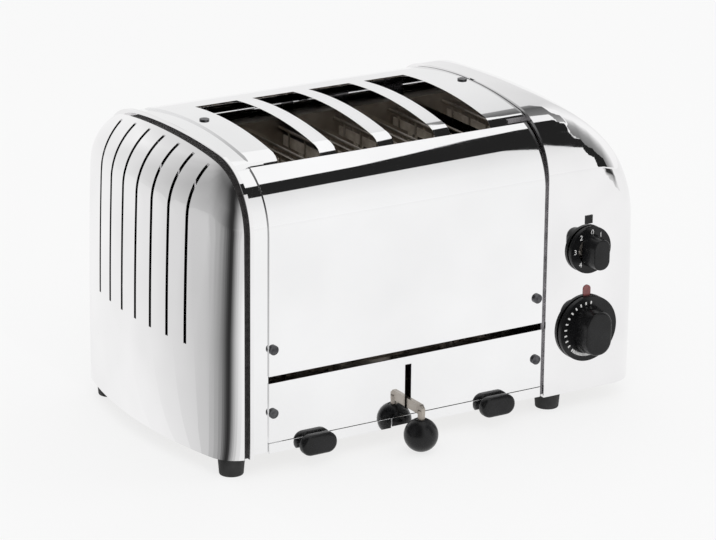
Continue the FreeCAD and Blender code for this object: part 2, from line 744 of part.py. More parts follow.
def top_cover():
    """Crowned sheet with bent edges and four slots, open to the front, with a lip down each side."""
    cover = new_body("top_cover")
    half = s.cover_half
    inner = half - s.sheet
    profile = new_sketch(cover, "YZ_Plane", cover_left)
    low = shoulder_height(s.sheet, inner)
    points = [(-half, low), (-half, s.cover_edge), (half, s.cover_edge), (half, low), (inner, low),
              (inner, s.cover_edge - s.sheet), (-inner, s.cover_edge - s.sheet), (-inner, low)]
    centres = {1: (0, cover_centre(level)), 5: (0, cover_centre(s.sheet))}
    draw_outline(profile, points, centres)
    pad(cover, profile, cover_right - cover_left)
    depth = s.sheet / 2
    lip_bottom = s.cover_edge - s.lip
    lip_points = [(-inner, lip_bottom), (s.slot_back, lip_bottom),
                  (s.slot_back, crown_height(depth, s.slot_back)), (-inner, crown_height(depth, inner))]
    for index in range(SLOTS):
        near = slot_middle(index) - slot_width / 2
        for start in (near - s.sheet, near + slot_width):
            lip = new_sketch(cover, "YZ_Plane", start)
            draw_outline(lip, lip_points, {2: (0, cover_centre(depth))})
            pad(cover, lip, s.sheet)
    openings = new_sketch(cover, "XY_Plane", s.cover_top + s.sheet)
    for index in range(SLOTS):
        middle = slot_middle(index)
        draw_rectangle(openings, middle - slot_width / 2, -half - s.sheet,
                       middle + slot_width / 2, s.slot_back)
    for x in (cover_screw_left, cover_screw_right):
        draw_circle(openings, x, level, s.screw_radius + s.running_gap)
    pocket(cover, openings, s.cover_top - s.cover_edge + s.lip)


def chamber_plate(label, side):
    """Upright inner plate that holds the ends of the element boards and of the bread guards."""
    plate = new_body(label)
    distance = s.chamber_front if side < 0 else -s.chamber_back
    face = new_sketch(plate, "XZ_Plane", distance)
    draw_rectangle(face, frame_left + s.fit_gap, s.chamber_bottom, frame_right - s.fit_gap, s.chamber_top)
    pad(plate, face, s.inner_sheet, reverse=side > 0)
    if side > 0:
        return
    openings = new_sketch(plate, "XZ_Plane", chamber_face + s.inner_sheet)
    half = s.rest_width / 2 + s.side_gap
    for index in range(SLOTS):
        middle = slot_middle(index)
        draw_rectangle(openings, middle - half, crossbar_top - s.side_gap, middle + half,
                       s.rest_height + s.lift_travel + s.side_gap)
    pocket(plate, openings, 3 * s.inner_sheet)


def element_boards():
    """Five mica boards, one on each side of every bread slot."""
    half = s.board_thickness / 2
    reach = chamber_half - s.fit_gap
    for index in range(SLOTS + 1):
        x = board_middle(index)
        board = box(x - half, chamber_middle - reach, s.board_bottom,
                    x + half, chamber_middle + reach, s.board_top)
        keep("element_board_%d" % (index + 1), board)


def heating_ribbons():
    """Turns of flat ribbon on both faces of every board."""
    turns = []
    count = int(number(s.ribbon_count))
    span = s.board_top - s.board_bottom - 2 * s.ribbon_margin
    front = chamber_middle - chamber_half + s.ribbon_margin
    back = chamber_middle + chamber_half - s.ribbon_margin
    for index in range(SLOTS + 1):
        x = board_middle(index)
        for turn in range(count):
            z = s.board_bottom + s.ribbon_margin + span * (turn / (count - 1))
            low = z - s.ribbon_width / 2
            near = s.board_thickness / 2
            far = near + s.ribbon_thickness
            turns.append(box(x + near, front, low, x + far, back, low + s.ribbon_width))
            turns.append(box(x - far, front, low, x - near, back, low + s.ribbon_width))
    keep("heating_ribbons", group(turns))


def bread_guards():
    """Upright wires between two rails on both sides of every slot."""
    reach = chamber_half - s.fit_gap
    count = int(number(s.wire_count))
    for index in range(SLOTS):
        sides = []
        for side in (-1, 1):
            x = slot_middle(index) + side * (slot_width / 2 + s.sheet + s.fit_gap + s.wire_rail_radius)
            wires = [cylinder(x, chamber_middle - reach, z, s.wire_rail_radius, 2 * reach, REARWARD)
                     for z in (s.guard_bottom, s.guard_top)]
            for wire in range(count):
                y = chamber_middle + (wire - (count - 1) / 2) * s.wire_pitch
                wires.append(cylinder(x, y, s.guard_bottom, s.wire_radius, s.guard_top - s.guard_bottom))
            sides.append(fused(wires))
        keep("bread_guard_%d" % (index + 1), group(sides))


def element_link_bars():
    """Two bars that join the lower ends of the element boards."""
    left = board_middle(0) - s.bus_height
    right = board_middle(SLOTS) + s.bus_height
    half = s.sheet / 2
    bars = []
    for y in (chamber_middle - s.board_bottom, chamber_middle + s.board_bottom):
        bars.append(box(left, y - half, s.board_bottom - s.bus_height, right, y + half, s.board_bottom))
    keep("element_link_bars", group(bars))


def bread_rests():
    """Strips with turned down edges that carry the bread and rest on the crossbar in front."""
    half = s.rest_width / 2
    front = 2 * s.rest_sheet - s.chamber_front
    back = s.chamber_back - 2 * s.rest_sheet
    low = crossbar_top - 3 * s.rest_sheet
    for index in range(SLOTS):
        middle = slot_middle(index)
        strip = box(middle - half, -s.crossbar_front, crossbar_top, middle + half, back, s.rest_height)
        edges = [box(middle - half, front, low, middle - half + s.rest_sheet, back, s.rest_height),
                 box(middle + half - s.rest_sheet, front, low, middle + half, back, s.rest_height)]
        keep("bread_rest_%d" % (index + 1), fused([strip] + edges))


def rod_places():
    return (slots_middle - slot_pitch, slots_middle + slot_pitch)


def lift_carriage():
    """Crossbar under the front ends of the bread rests, with a bush on each guide rod."""
    back = s.crossbar_front - s.crossbar_height / 2
    pieces = [box(slot_middle(0) - s.rest_width, -s.crossbar_front, crossbar_bottom,
                  slot_middle(SLOTS - 1) + s.rest_width, -back, crossbar_top)]
    bores = []
    for x in rod_places():
        half = s.bush_radius / 2
        pieces.append(box(x - half, -s.rod_setback, crossbar_bottom, x + half, -back, crossbar_top))
        pieces.append(cylinder(x, -s.rod_setback, crossbar_bottom, s.bush_radius, s.crossbar_height))
        bores.append(cylinder(x, -s.rod_setback, crossbar_bottom - s.fit_gap,
                              s.rod_radius + s.running_gap, s.crossbar_height + 2 * s.fit_gap))
    keep("lift_carriage", cut(fused(pieces), bores))


def guide_rods():
    for label, x in zip(("left_guide_rod", "right_guide_rod"), rod_places()):
        rod = cylinder(x, -s.rod_setback, s.bracket_bottom, s.rod_radius, s.bracket_top - s.bracket_bottom)
        keep(label, rod)


def guide_bracket(label, low, flange_low):
    """Level plate that holds both guide rods, with a flange against the front inner plate."""
    left, right = rod_places()
    margin = 2 * s.bush_radius
    front = s.rod_setback + s.bush_radius + s.bracket_sheet
    shelf = box(left - margin, -front, low, right + margin, -chamber_face, low + s.bracket_sheet)
    flange = box(left - margin, -chamber_face - s.bracket_sheet, flange_low, right + margin,
                 -chamber_face, flange_low + margin)
    holes = [cylinder(x, -s.rod_setback, low - s.fit_gap, s.rod_radius + s.running_gap,
                      s.bracket_sheet + 2 * s.fit_gap) for x in rod_places()]
    keep(label, cut(fused([shelf, flange]), holes))


def lever_arm():
    """Flat arm from the crossbar through the slot of the lower panel, with a stud for the ball."""
    back = s.crossbar_front
    leg = back + s.lever_height
    top = s.lever_bottom + s.lever_height
    tip = ball_front + s.ball_stud_radius
    arm = new_body("lever_arm")
    profile = new_sketch(arm, "YZ_Plane", lever_middle - s.lever_thickness / 2)
    draw_outline(profile, [(-back, crossbar_top), (-leg, crossbar_top), (-leg, top),
                           (-ball_front, top), (-tip, top - s.ball_stud_radius), (-tip, s.lever_bottom),
                           (-back, s.lever_bottom)])
    pad(arm, profile, s.lever_thickness)
    stud = new_sketch(arm, "XY_Plane", s.ball_height - s.ball_stud_depth)
    draw_circle(stud, lever_middle, -ball_front, s.ball_stud_radius)
    pad(arm, stud, s.lever_bottom + s.lever_thickness - s.ball_height + s.ball_stud_depth)


def lever_ball():
    ball = doc.addObject("Part::Sphere", "sphere")
    bind(ball, Radius=s.ball_radius)
    place(ball, lever_middle, -ball_front, s.ball_height)
    bore_bottom = s.ball_height - s.ball_stud_depth - s.fit_gap
    bore = cylinder(lever_middle, -ball_front, bore_bottom, s.ball_stud_radius + s.running_gap,
                    2 * s.ball_radius)
    keep("lever_ball", cut(ball, [bore]))


def tray_rail():
    """Fixed channel between the two crumb trays, behind the lever ball."""
    left = lever_middle - s.rail_half
    right = lever_middle + s.rail_half
    rail = new_body("tray_rail")
    profile = new_sketch(rail, "XZ_Plane", lip_front)
    draw_outline(profile, [(left, base_top), (right, base_top), (right, s.tray_lip_top),
                           (left, s.tray_lip_top)])
    pad(rail, profile, lip_front + s.tray_back, reverse=True)
    hollow = new_sketch(rail, "XZ_Plane", lip_front - s.sheet)
    draw_rectangle(hollow, left + s.sheet, base_top, right - s.sheet, s.tray_lip_top - s.sheet)
    pocket(rail, hollow, lip_front + s.tray_back)


def crumb_tray(label, left, right, lip_left, lip_right):
    """Shallow tray with a lip that closes the gap below the lower panel."""
    front = lip_front - s.sheet
    top = s.tray_height
    floor_top = tray_bottom + s.tray_floor
    pieces = [box(left, -lip_front, tray_bottom, right, s.tray_back, floor_top),
              box(left, -front, tray_bottom, left + s.tray_floor, s.tray_back, top),
              box(right - s.tray_floor, -front, tray_bottom, right, s.tray_back, top),
              box(left, s.tray_back - s.tray_floor, tray_bottom, right, s.tray_back, top),
              box(lip_left, -lip_front, s.base_height + s.fit_gap, lip_right, -front, s.tray_lip_top)]
    keep(label, fused(pieces))


def crumb_trays():
    rail_left = lever_middle - s.rail_half - s.fit_gap
    rail_right = lever_middle + s.rail_half + s.fit_gap
    crumb_tray("left_crumb_tray", panel_left + s.tray_inset, rail_left, panel_left, rail_left)
    crumb_tray("right_crumb_tray", rail_right, panel_right - s.right_flange, rail_right, panel_right)


def stadium(sketch, x, z, width, height):
    """Outline with two round ends, lying or standing."""
    if number(width) > number(height):
        radius = height / 2
        reach = width / 2 - radius
        points = [(x - reach, z - radius), (x + reach, z - radius), (x + reach, z + radius),
                  (x - reach, z + radius)]
        draw_outline(sketch, points, {1: (x + reach, z), 3: (x - reach, z)})
        return
    radius = width / 2
    reach = height / 2 - radius
    points = [(x - radius, z - reach), (x + radius, z - reach), (x + radius, z + reach),
              (x - radius, z + reach)]
    draw_outline(sketch, points, {0: (x, z - reach), 2: (x, z + reach)})


def front_edges(feature, y):
    """Names of the edges that lie in a plane across Y."""
    return ["Edge%d" % index for index, item in enumerate(feature.Shape.Edges, start=1)
            if item.BoundBox.YLength < 1e-3 and abs(item.BoundBox.YMin - y) < 1e-3]


def round_front(body, y, radius):
    """Rounds the front edges of the body's last feature."""
    doc.recompute()
    feature = body.Tip
    rounding = body.newObject("PartDesign::Fillet", body.Label + "_rounding")
    rounding.Base = (feature, front_edges(feature, y))
    bind(rounding, Radius=radius)
    body.Tip = rounding


def tray_pull(label, x):
    """Black knob on the lip of a crumb tray."""
    pull = new_body(label)
    outline = new_sketch(pull, "XZ_Plane", lip_front)
    stadium(outline, x, s.pull_middle, s.pull_width, s.pull_height)
    pad(pull, outline, s.pull_depth)
    round_front(pull, -number(lip_front + s.pull_depth), s.pull_depth / 4)


def foot(label, x, y):
    """Slightly tapered foot with a recess for the head of its screw."""
    cone = doc.addObject("Part::Cone", "cone")
    bind(cone, Radius1=s.foot_radius - s.sheet, Radius2=s.foot_radius, Height=s.base_height)
    place(cone, x, y, level)
    through = cylinder(x, y, -s.sheet, s.foot_screw_radius + s.running_gap, s.base_height + 2 * s.sheet)
    recess = cylinder(x, y, -s.sheet, s.boss_radius - s.sheet, s.sheet + s.base_height / 3)
    keep(label, cut(cone, [through, recess]))


def feet():
    for side, x in (("left", foot_left), ("right", foot_right)):
        for end, y in (("front", -s.foot_setback), ("rear", s.foot_setback)):
            foot("%s_%s_foot" % (end, side), x, y)


def screw(x, y, z, head_radius, head, shank_radius, shank, towards):
    """Screw whose head starts at a point; the shank points the way that is given."""
    along = [towards.x, towards.y, towards.z]
    base = [place_size + step * head for place_size, step in zip((x, y, z), along)]
    return fused([cylinder(x, y, z, head_radius, head, towards),
                  cylinder(base[0], base[1], base[2], shank_radius, shank, towards)])


def foot_screws():
    seat = s.base_height / 3
    screws = [screw(x, y, seat - s.screw_head, s.screw_head_radius, s.screw_head, s.foot_screw_radius,
                    s.base_height - seat + s.foot_screw_length, V(0, 0, 1))
              for x in (foot_left, foot_right) for y in (-s.foot_setback, s.foot_setback)]
    keep("foot_screws", group(screws))


def panel_screws(label, side, heights):
    face = side * (skin_front + s.screw_head)
    screws = [screw(x, face, height, s.screw_head_radius, s.screw_head, s.screw_radius, s.screw_length,
                    V(0, -side, 0))
              for x in (screw_left, screw_right) for height in heights]
    keep(label, group(screws))


def cover_screws():
    """One screw at each end of the top cover; the heads stand on the crown."""
    head_top = s.cover_top + s.cover_screw_head
    screws = [screw(x, level, head_top, s.screw_head_radius, s.cover_screw_head, s.screw_radius,
                    s.screw_length, V(0, 0, -1))
              for x in (cover_screw_left, cover_screw_right)]
    keep("top_cover_screws", group(screws))


def dial_knob(label, height, radius, grip_width, grip_length):
    """Dial with a round skirt, an upright finger grip, and a hollow behind for the neck and its nut."""
    back = casting_front + s.knob_gap
    knob = new_body(label)
    disc = new_sketch(knob, "XZ_Plane", back)
    draw_circle(disc, dials_middle, height, radius)
    pad(knob, disc, s.skirt)
    round_front(knob, -number(back + s.skirt), s.skirt / 5)
    grip = new_sketch(knob, "XZ_Plane", back + s.skirt / 2)
    stadium(grip, dials_middle, height, grip_width, grip_length)
    pad(knob, grip, s.skirt / 2 + s.grip)
    round_front(knob, -number(back + s.skirt + s.grip), s.skirt / 4)
    hollow = new_sketch(knob, "XZ_Plane", back)
    draw_circle(hollow, dials_middle, height, s.knob_hollow_radius)
    pocket(knob, hollow, s.neck_reach, reverse=True)
    bore = new_sketch(knob, "XZ_Plane", back)
    draw_circle(bore, dials_middle, height, s.shaft_radius + s.running_gap)
    pocket(knob, bore, s.skirt + s.grip / 2 + s.fit_gap, reverse=True)


def dial_shaft(label, height):
    inner = casting_front - s.shaft_end
    length = s.shaft_end + s.knob_gap + s.skirt + s.grip / 2
    keep(label, cylinder(dials_middle, -inner, height, s.shaft_radius, length, FRONTWARD))


def dial_works(label, height, size, depth):
    """Case behind the casting wall with a neck through it and a bore for the shaft."""
    inner_face = casting_front - s.casting_wall
    half = size / 2
    case = box(dials_middle - half, -inner_face, height - half, dials_middle + half,
               depth - inner_face, height + half)
    neck = cylinder(dials_middle, -inner_face, height, s.neck_radius, s.casting_wall + s.neck_reach,
                    FRONTWARD)
    shaft_room = s.shaft_end + s.fit_gap
    bore = cylinder(dials_middle, shaft_room - casting_front, height, s.shaft_radius + s.running_gap,
                    shaft_room + 2 * s.neck_reach, FRONTWARD)
    keep(label, cut(fused([case, neck]), [bore]))


def neck_nut(height):
    """Hexagon nut on a neck, in front of the casting."""
    nut = doc.addObject("Part::Prism", "prism")
    nut.Polygon = 6
    nut.Placement = FreeCAD.Placement(V(0, 0, 0), FreeCAD.Rotation(V(0, 0, 1), FRONTWARD))
    bind(nut, Circumradius=s.nut_width / math.sqrt(3), Height=s.nut_thickness)
    place(nut, dials_middle, -casting_front, height)
    bore = cylinder(dials_middle, s.sheet - casting_front, height, s.neck_radius + s.running_gap,
                    s.nut_thickness + 2 * s.sheet, FRONTWARD)
    return cut(nut, [bore])


def selector_mark():
    half = s.mark_width / 2
    mark = box(dials_middle - half, -casting_front - s.mark_thickness, mark_height - half,
               dials_middle + half, -casting_front, mark_height + half)
    keep("selector_mark", mark)


def lamp():
    lens = new_body("lamp_lens")
    outline = new_sketch(lens, "XZ_Plane", casting_front)
    stadium(outline, dials_middle, lamp_height, s.mark_width, s.lamp_length)
    pad(lens, outline, s.mark_thickness)
    inner = casting_front - s.lamp_body_length
    bulb = cylinder(dials_middle, -inner, lamp_height, s.lamp_body_radius, s.lamp_body_length,
                    FRONTWARD)
    keep("lamp_body", bulb)


def terminal_block():
    half = s.terminal_width / 2
    back = casting_front - 3 * s.gland_tail - s.casting_wall
    keep("terminal_block", box(dials_middle - half, back - s.terminal_depth, base_top,
                               dials_middle + half, back, base_top + s.terminal_height))


def cord_gland():
    """Bush in the rear wall that the supply cord would pass through."""
    tail_start = casting_front - s.casting_wall - s.gland_tail
    tail = cylinder(dials_middle, tail_start, s.gland_height, s.gland_radius,
                    s.casting_wall + s.gland_tail, REARWARD)
    flange = cylinder(dials_middle, casting_front, s.gland_height, s.gland_flange_radius, s.gland_flange,
                      REARWARD)
    bore = cylinder(dials_middle, tail_start - s.sheet, s.gland_height, s.gland_bore_radius,
                    s.casting_wall + s.gland_tail + s.gland_flange + 2 * s.sheet, REARWARD)
    keep("cord_gland", cut(fused([tail, flange]), [bore]))


left_end_casting()
right_end_casting()
frame_plate("left_frame_plate", left_inner, s.left_flange, screw_left, cover_screw_left, True)
frame_plate("right_frame_plate", right_inner, s.right_flange, screw_right, cover_screw_right, False)
base_plate()
front_upper_panel()
front_lower_panel()
rear_panel()
top_cover()
chamber_plate("front_inner_plate", -1)
chamber_plate("rear_inner_plate", 1)
element_boards()
heating_ribbons()
element_link_bars()
bread_guards()
bread_rests()
lift_carriage()
guide_rods()
guide_bracket("lower_guide_bracket", s.bracket_bottom, s.bracket_bottom)
guide_bracket("upper_guide_bracket", s.bracket_top - s.bracket_sheet, s.bracket_top - 2 * s.bush_radius)
lever_arm()
lever_ball()
tray_rail()
crumb_trays()
tray_pull("left_tray_knob", panel_left + s.pull_margin_left)
tray_pull("right_tray_knob", panel_right - s.pull_margin_right)
feet()
foot_screws()
panel_screws("front_panel_screws", -1, [s.panel_screw_low, s.panel_screw_high])
panel_screws("rear_panel_screws", 1, [s.panel_screw_low, s.panel_screw_high])
cover_screws()
dial_knob("timer_knob", s.timer_height, s.timer_knob_radius, s.timer_grip_width, s.timer_grip_length)
dial_knob("selector_knob", selector_height, s.selector_knob_radius, s.selector_grip_width,
          s.selector_grip_length)
dial_shaft("timer_shaft", s.timer_height)
dial_shaft("selector_shaft", selector_height)
dial_works("timer_body", s.timer_height, s.timer_size, s.timer_depth)
dial_works("selector_switch", selector_height, s.switch_size, s.switch_depth)
keep("neck_nuts", group([neck_nut(s.timer_height), neck_nut(selector_height)]))
selector_mark()
lamp()
terminal_block()
cord_gland()

doc.recompute()
for item in doc.Objects:
    if "Invalid" in item.State or "Error" in item.State:
        raise ValueError("%s failed: %s" % (item.Name, item.State))
for label, item in nodes.items():
    if item.Shape.isNull() or not item.Shape.isValid() or not item.Shape.Solids:
        raise ValueError(label + " has no valid solid")

os.makedirs("parts", exist_ok=True)
for label, item in nodes.items():
    item.Shape.exportStep("parts/%s.step" % label)
print(len(nodes), "nodes written")
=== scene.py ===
import json
import math

import bmesh
import bpy
from mathutils import Matrix, Vector

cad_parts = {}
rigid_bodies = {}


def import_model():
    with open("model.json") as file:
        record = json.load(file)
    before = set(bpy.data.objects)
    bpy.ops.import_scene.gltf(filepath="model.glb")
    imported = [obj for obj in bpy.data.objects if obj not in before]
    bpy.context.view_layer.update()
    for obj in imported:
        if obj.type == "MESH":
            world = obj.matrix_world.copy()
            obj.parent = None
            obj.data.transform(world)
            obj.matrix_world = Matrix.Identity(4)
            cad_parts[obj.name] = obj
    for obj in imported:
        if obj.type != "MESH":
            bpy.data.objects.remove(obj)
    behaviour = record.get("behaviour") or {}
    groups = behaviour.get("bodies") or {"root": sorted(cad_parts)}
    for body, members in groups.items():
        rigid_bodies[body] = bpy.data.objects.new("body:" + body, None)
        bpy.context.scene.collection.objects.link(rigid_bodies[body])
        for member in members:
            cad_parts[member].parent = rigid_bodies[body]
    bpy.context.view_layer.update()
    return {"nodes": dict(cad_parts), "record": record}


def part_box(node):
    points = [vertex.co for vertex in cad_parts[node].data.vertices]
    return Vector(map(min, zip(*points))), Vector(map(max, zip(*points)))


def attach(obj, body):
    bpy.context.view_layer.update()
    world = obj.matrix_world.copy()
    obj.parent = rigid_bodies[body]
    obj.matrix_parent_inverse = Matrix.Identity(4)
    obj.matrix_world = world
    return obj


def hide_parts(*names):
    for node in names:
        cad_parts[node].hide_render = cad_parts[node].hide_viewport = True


bl_info = {
    "name": "Four Slice Toaster",
    "version": (1, 0, 0),
    "blender": (4, 5, 0),
    "location": "3D View > Sidebar > Toaster",
    "description": "Dresses the packed toaster and sets it on its stage",
    "category": "Object",
}

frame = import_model()
NODES = frame["nodes"]
SLOT_OF = {part["node"]: part["material_slot"] for part in frame["record"]["subparts"]}

MM = 0.001
BODY_MIDDLE = Vector((0, 0, 110 * MM))


# Sizes and colours that a user may change.

class ToasterFinish(bpy.types.PropertyGroup):
    casting_colour: bpy.props.FloatVectorProperty(
        name="Casting colour", description="Polished end castings", subtype="COLOR", size=3,
        min=0, max=1, default=(0.90, 0.895, 0.90))
    steel_colour: bpy.props.FloatVectorProperty(
        name="Steel colour", description="Polished steel panels", subtype="COLOR", size=3,
        min=0, max=1, default=(0.93, 0.93, 0.935))
    plastic_colour: bpy.props.FloatVectorProperty(
        name="Plastic colour", description="Dials, ball and tray knobs", subtype="COLOR", size=3,
        min=0, max=1, default=(0.006, 0.006, 0.0065))
    print_colour: bpy.props.FloatVectorProperty(
        name="Print colour", description="Scales on the dials", subtype="COLOR", size=3,
        min=0, max=1, default=(0.75, 0.75, 0.74))
    edge_radius: bpy.props.FloatProperty(
        name="Edge radius", description="Rounding of the sheet edges", subtype="DISTANCE",
        min=0.00005, max=0.001, default=0.00025)
    arm_radius: bpy.props.FloatProperty(
        name="Arm radius", description="Rounding of the lever arm", subtype="DISTANCE",
        min=0.00005, max=0.001, default=0.0003)
    foot_radius: bpy.props.FloatProperty(
        name="Foot radius", description="Rounding of the feet", subtype="DISTANCE",
        min=0.00005, max=0.002, default=0.0008)


class ToasterCasting(bpy.types.PropertyGroup):
    shoulder: bpy.props.FloatProperty(
        name="Shoulder", description="Front and rear shoulder of a casting", subtype="DISTANCE",
        default=0.048)
    crown: bpy.props.FloatProperty(
        name="Crown", description="Radius of the crown of a casting", subtype="DISTANCE", default=0.394)
    bow: bpy.props.FloatProperty(
        name="Bow", description="Radius of the end face seen from above", subtype="DISTANCE",
        default=0.366)
    rise: bpy.props.FloatProperty(
        name="Rise", description="Radius of the end face seen from the front", subtype="DISTANCE",
        default=3.0)
    rise_middle: bpy.props.FloatProperty(
        name="Rise middle", description="Height where the end face stands out most",
        subtype="DISTANCE", default=0.06)
    side_roll: bpy.props.FloatProperty(
        name="Side roll", description="Rolled upright corners", subtype="DISTANCE", default=0.022)
    left_roll: bpy.props.FloatProperty(
        name="Left roll", description="Rolled top of the left casting", subtype="DISTANCE",
        default=0.045)
    right_roll: bpy.props.FloatProperty(
        name="Right roll", description="Rolled top of the right casting", subtype="DISTANCE",
        default=0.088)
    wall: bpy.props.FloatProperty(
        name="Wall", description="Wall of the end faces", subtype="DISTANCE", default=0.004)
    rim: bpy.props.FloatProperty(
        name="Rim", description="Rim of the left casting", subtype="DISTANCE", default=0.003)
    groove: bpy.props.FloatProperty(
        name="Groove", description="Groove beside the rim", subtype="DISTANCE", default=0.0036)
    groove_depth: bpy.props.FloatProperty(
        name="Groove depth", description="Depth of the groove", subtype="DISTANCE", default=0.0026)
    louvres: bpy.props.IntProperty(name="Louvres", description="Louvres in each end", default=7)
    louvre_width: bpy.props.FloatProperty(
        name="Louvre width", description="Width of one louvre", subtype="DISTANCE", default=0.003)
    louvre_pitch: bpy.props.FloatProperty(
        name="Louvre pitch", description="Spacing of the louvres", subtype="DISTANCE", default=0.0204)
    louvre_bottom: bpy.props.FloatProperty(
        name="Louvre bottom", description="Height where the louvres begin", subtype="DISTANCE",
        default=0.088)
    louvre_reach: bpy.props.FloatProperty(
        name="Louvre reach", description="End face to the inner end of the louvres",
        subtype="DISTANCE", default=0.0243)


class ToasterDials(bpy.types.PropertyGroup):
    timer_width: bpy.props.FloatProperty(
        name="Timer grip width", description="Width of the timer's grip", subtype="DISTANCE",
        default=0.024)
    timer_length: bpy.props.FloatProperty(
        name="Timer grip length", description="Height of the timer's grip", subtype="DISTANCE",
        default=0.034)
    selector_width: bpy.props.FloatProperty(
        name="Selector grip width", description="Width of the selector's grip", subtype="DISTANCE",
        default=0.015)
    selector_length: bpy.props.FloatProperty(
        name="Selector grip length", description="Height of the selector's grip",
        subtype="DISTANCE", default=0.0235)
    skirt_depth: bpy.props.FloatProperty(
        name="Skirt depth", description="Thickness of a dial's skirt", subtype="DISTANCE",
        default=0.003)
    grip_taper: bpy.props.FloatProperty(
        name="Grip taper", description="Front of a grip compared with its foot", min=0.5, max=1,
        default=0.86)
    tick_length: bpy.props.FloatProperty(
        name="Tick length", description="Length of a scale mark", subtype="DISTANCE", min=0.0005,
        max=0.005, default=0.0022)
    tick_width: bpy.props.FloatProperty(
        name="Tick width", description="Width of a scale mark", subtype="DISTANCE", min=0.0002,
        max=0.002, default=0.0007)
    number_size: bpy.props.FloatProperty(
        name="Number size", description="Height of the scale numbers", subtype="DISTANCE", min=0.001,
        max=0.01, default=0.0052)


class ToasterStage(bpy.types.PropertyGroup):
    azimuth: bpy.props.FloatProperty(
        name="Azimuth", description="Camera towards the left of the front", subtype="ANGLE",
        default=math.radians(31.52))
    elevation: bpy.props.FloatProperty(
        name="Elevation", description="Camera above the table", subtype="ANGLE",
        default=math.radians(18.46))
    roll: bpy.props.FloatProperty(
        name="Roll", description="Camera about its own axis", subtype="ANGLE",
        default=math.radians(0.57))
    distance: bpy.props.FloatProperty(
        name="Distance", description="Camera to the middle of the body", subtype="DISTANCE",
        default=2.4908)
    lens: bpy.props.FloatProperty(
        name="Lens", description="Focal length on a 36 mm sensor", min=20, max=400, default=177.75)
    shift_y: bpy.props.FloatProperty(
        name="Shift", description="Upright shift of the lens", min=-0.1, max=0.1, default=-0.00965)
    aside: bpy.props.FloatProperty(
        name="Aside", description="Camera to the left of the middle of the body",
        subtype="DISTANCE", default=0.001755)
    below: bpy.props.FloatProperty(
        name="Below", description="Camera below the middle of the body", subtype="DISTANCE",
        default=0.011465)
    key_power: bpy.props.FloatProperty(
        name="Key power", description="Lamp at the front left", unit="POWER", min=0, default=10)
    fill_power: bpy.props.FloatProperty(
        name="Fill power", description="Lamp at the right", unit="POWER", min=0, default=4)


# Selecting and finishing.

def select_only(obj):
    for other in bpy.context.view_layer.objects.selected[:]:
        other.select_set(False)
    obj.select_set(True)
    bpy.context.view_layer.objects.active = obj


def edit(obj):
    select_only(obj)
    bpy.ops.object.mode_set(mode="EDIT")


def leave_edit():
    bpy.ops.object.mode_set(mode="OBJECT")


def select_faces(obj, wanted):
    """Selects the faces of an object in edit mode for which wanted(centre, normal) is true."""
    mesh = bmesh.from_edit_mesh(obj.data)
    for face in mesh.faces:
        face.select_set(False)
    bpy.ops.mesh.select_mode(type="FACE")
    for face in mesh.faces:
        face.select_set(wanted(face.calc_center_median(), face.normal))
    bmesh.update_edit_mesh(obj.data)


def select_edges(obj, wanted):
    """Selects the edges of an object in edit mode for which wanted(start, end) is true."""
    mesh = bmesh.from_edit_mesh(obj.data)
    bpy.ops.mesh.select_mode(type="EDGE")
    for edge in mesh.edges:
        start, end = (vert.co for vert in edge.verts)
        edge.select_set(wanted(start, end))
    bmesh.update_edit_mesh(obj.data)


def apply_place(obj):
    select_only(obj)
    bpy.ops.object.transform_apply(location=True, rotation=True, scale=True)


def apply_modifier(obj, kind, **settings):
    select_only(obj)
    modifier = obj.modifiers.new(kind.lower(), kind)
    for name, value in settings.items():
        setattr(modifier, name, value)
    bpy.ops.object.modifier_apply(modifier=modifier.name)


def smooth(obj, degrees=35):
    select_only(obj)
    bpy.ops.object.shade_smooth_by_angle(angle=math.radians(degrees))


def join(objects, name):
    select_only(objects[0])
    for obj in objects:
        obj.select_set(True)
    bpy.ops.object.join()
    objects[0].name = name
    return objects[0]


def settle(obj, name, body, slot, replaced=(), material=None):
    """Names a finished piece, gives it its finish and lets it ride on its body."""
    obj.name = name
    obj.data.name = name
    obj.data.materials.clear()
    obj.data.materials.append(material or FINISHES[slot])
    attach(obj, body)
    if replaced:
        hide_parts(*replaced)


def copy_of(node):
    """A merged copy of a CAD node's mesh as a new object."""
    obj = bpy.data.objects.new("copy", NODES[node].data.copy())
    bpy.context.scene.collection.objects.link(obj)
    edit(obj)
    bpy.ops.mesh.select_all(action="SELECT")
    bpy.ops.mesh.remove_doubles(threshold=1e-6)
    bpy.ops.mesh.dissolve_limited(angle_limit=math.radians(0.3))
    leave_edit()
    return obj


def rounded_copy(node, radius, body="frame", material=None, shape=None):
    """A copy of a CAD node with its sharp edges rounded, which stands for the node."""
    obj = copy_of(node)
    if shape:
        shape(obj)
    apply_modifier(obj, "BEVEL", width=radius, segments=2, limit_method="ANGLE",
                   angle_limit=math.radians(50), harden_normals=False, use_clamp_overlap=True)
    smooth(obj)
    apply_modifier(obj, "WEIGHTED_NORMAL", keep_sharp=True)
    settle(obj, node + "_finish", body, SLOT_OF[node], [node], material)


def slope_risers(cover):
    """Leans the front and rear edges of the top cover back, as the edges of the real sheet are."""
    sheet = 1.3 * MM
    lean = 4.2 * MM
    crease = max(vert.co.y for vert in cover.data.vertices)
    top = max(vert.co.z for vert in cover.data.vertices if vert.co.y > crease - 0.05 * MM)
    for vert in cover.data.vertices:
        if crease - abs(vert.co.y) < sheet and top - vert.co.z < sheet:
            vert.co.y -= math.copysign(lean, vert.co.y)


# Materials.

# The part of a noise's range that a finish spreads over.
NOISE_LOW = 0.3
NOISE_HIGH = 0.7


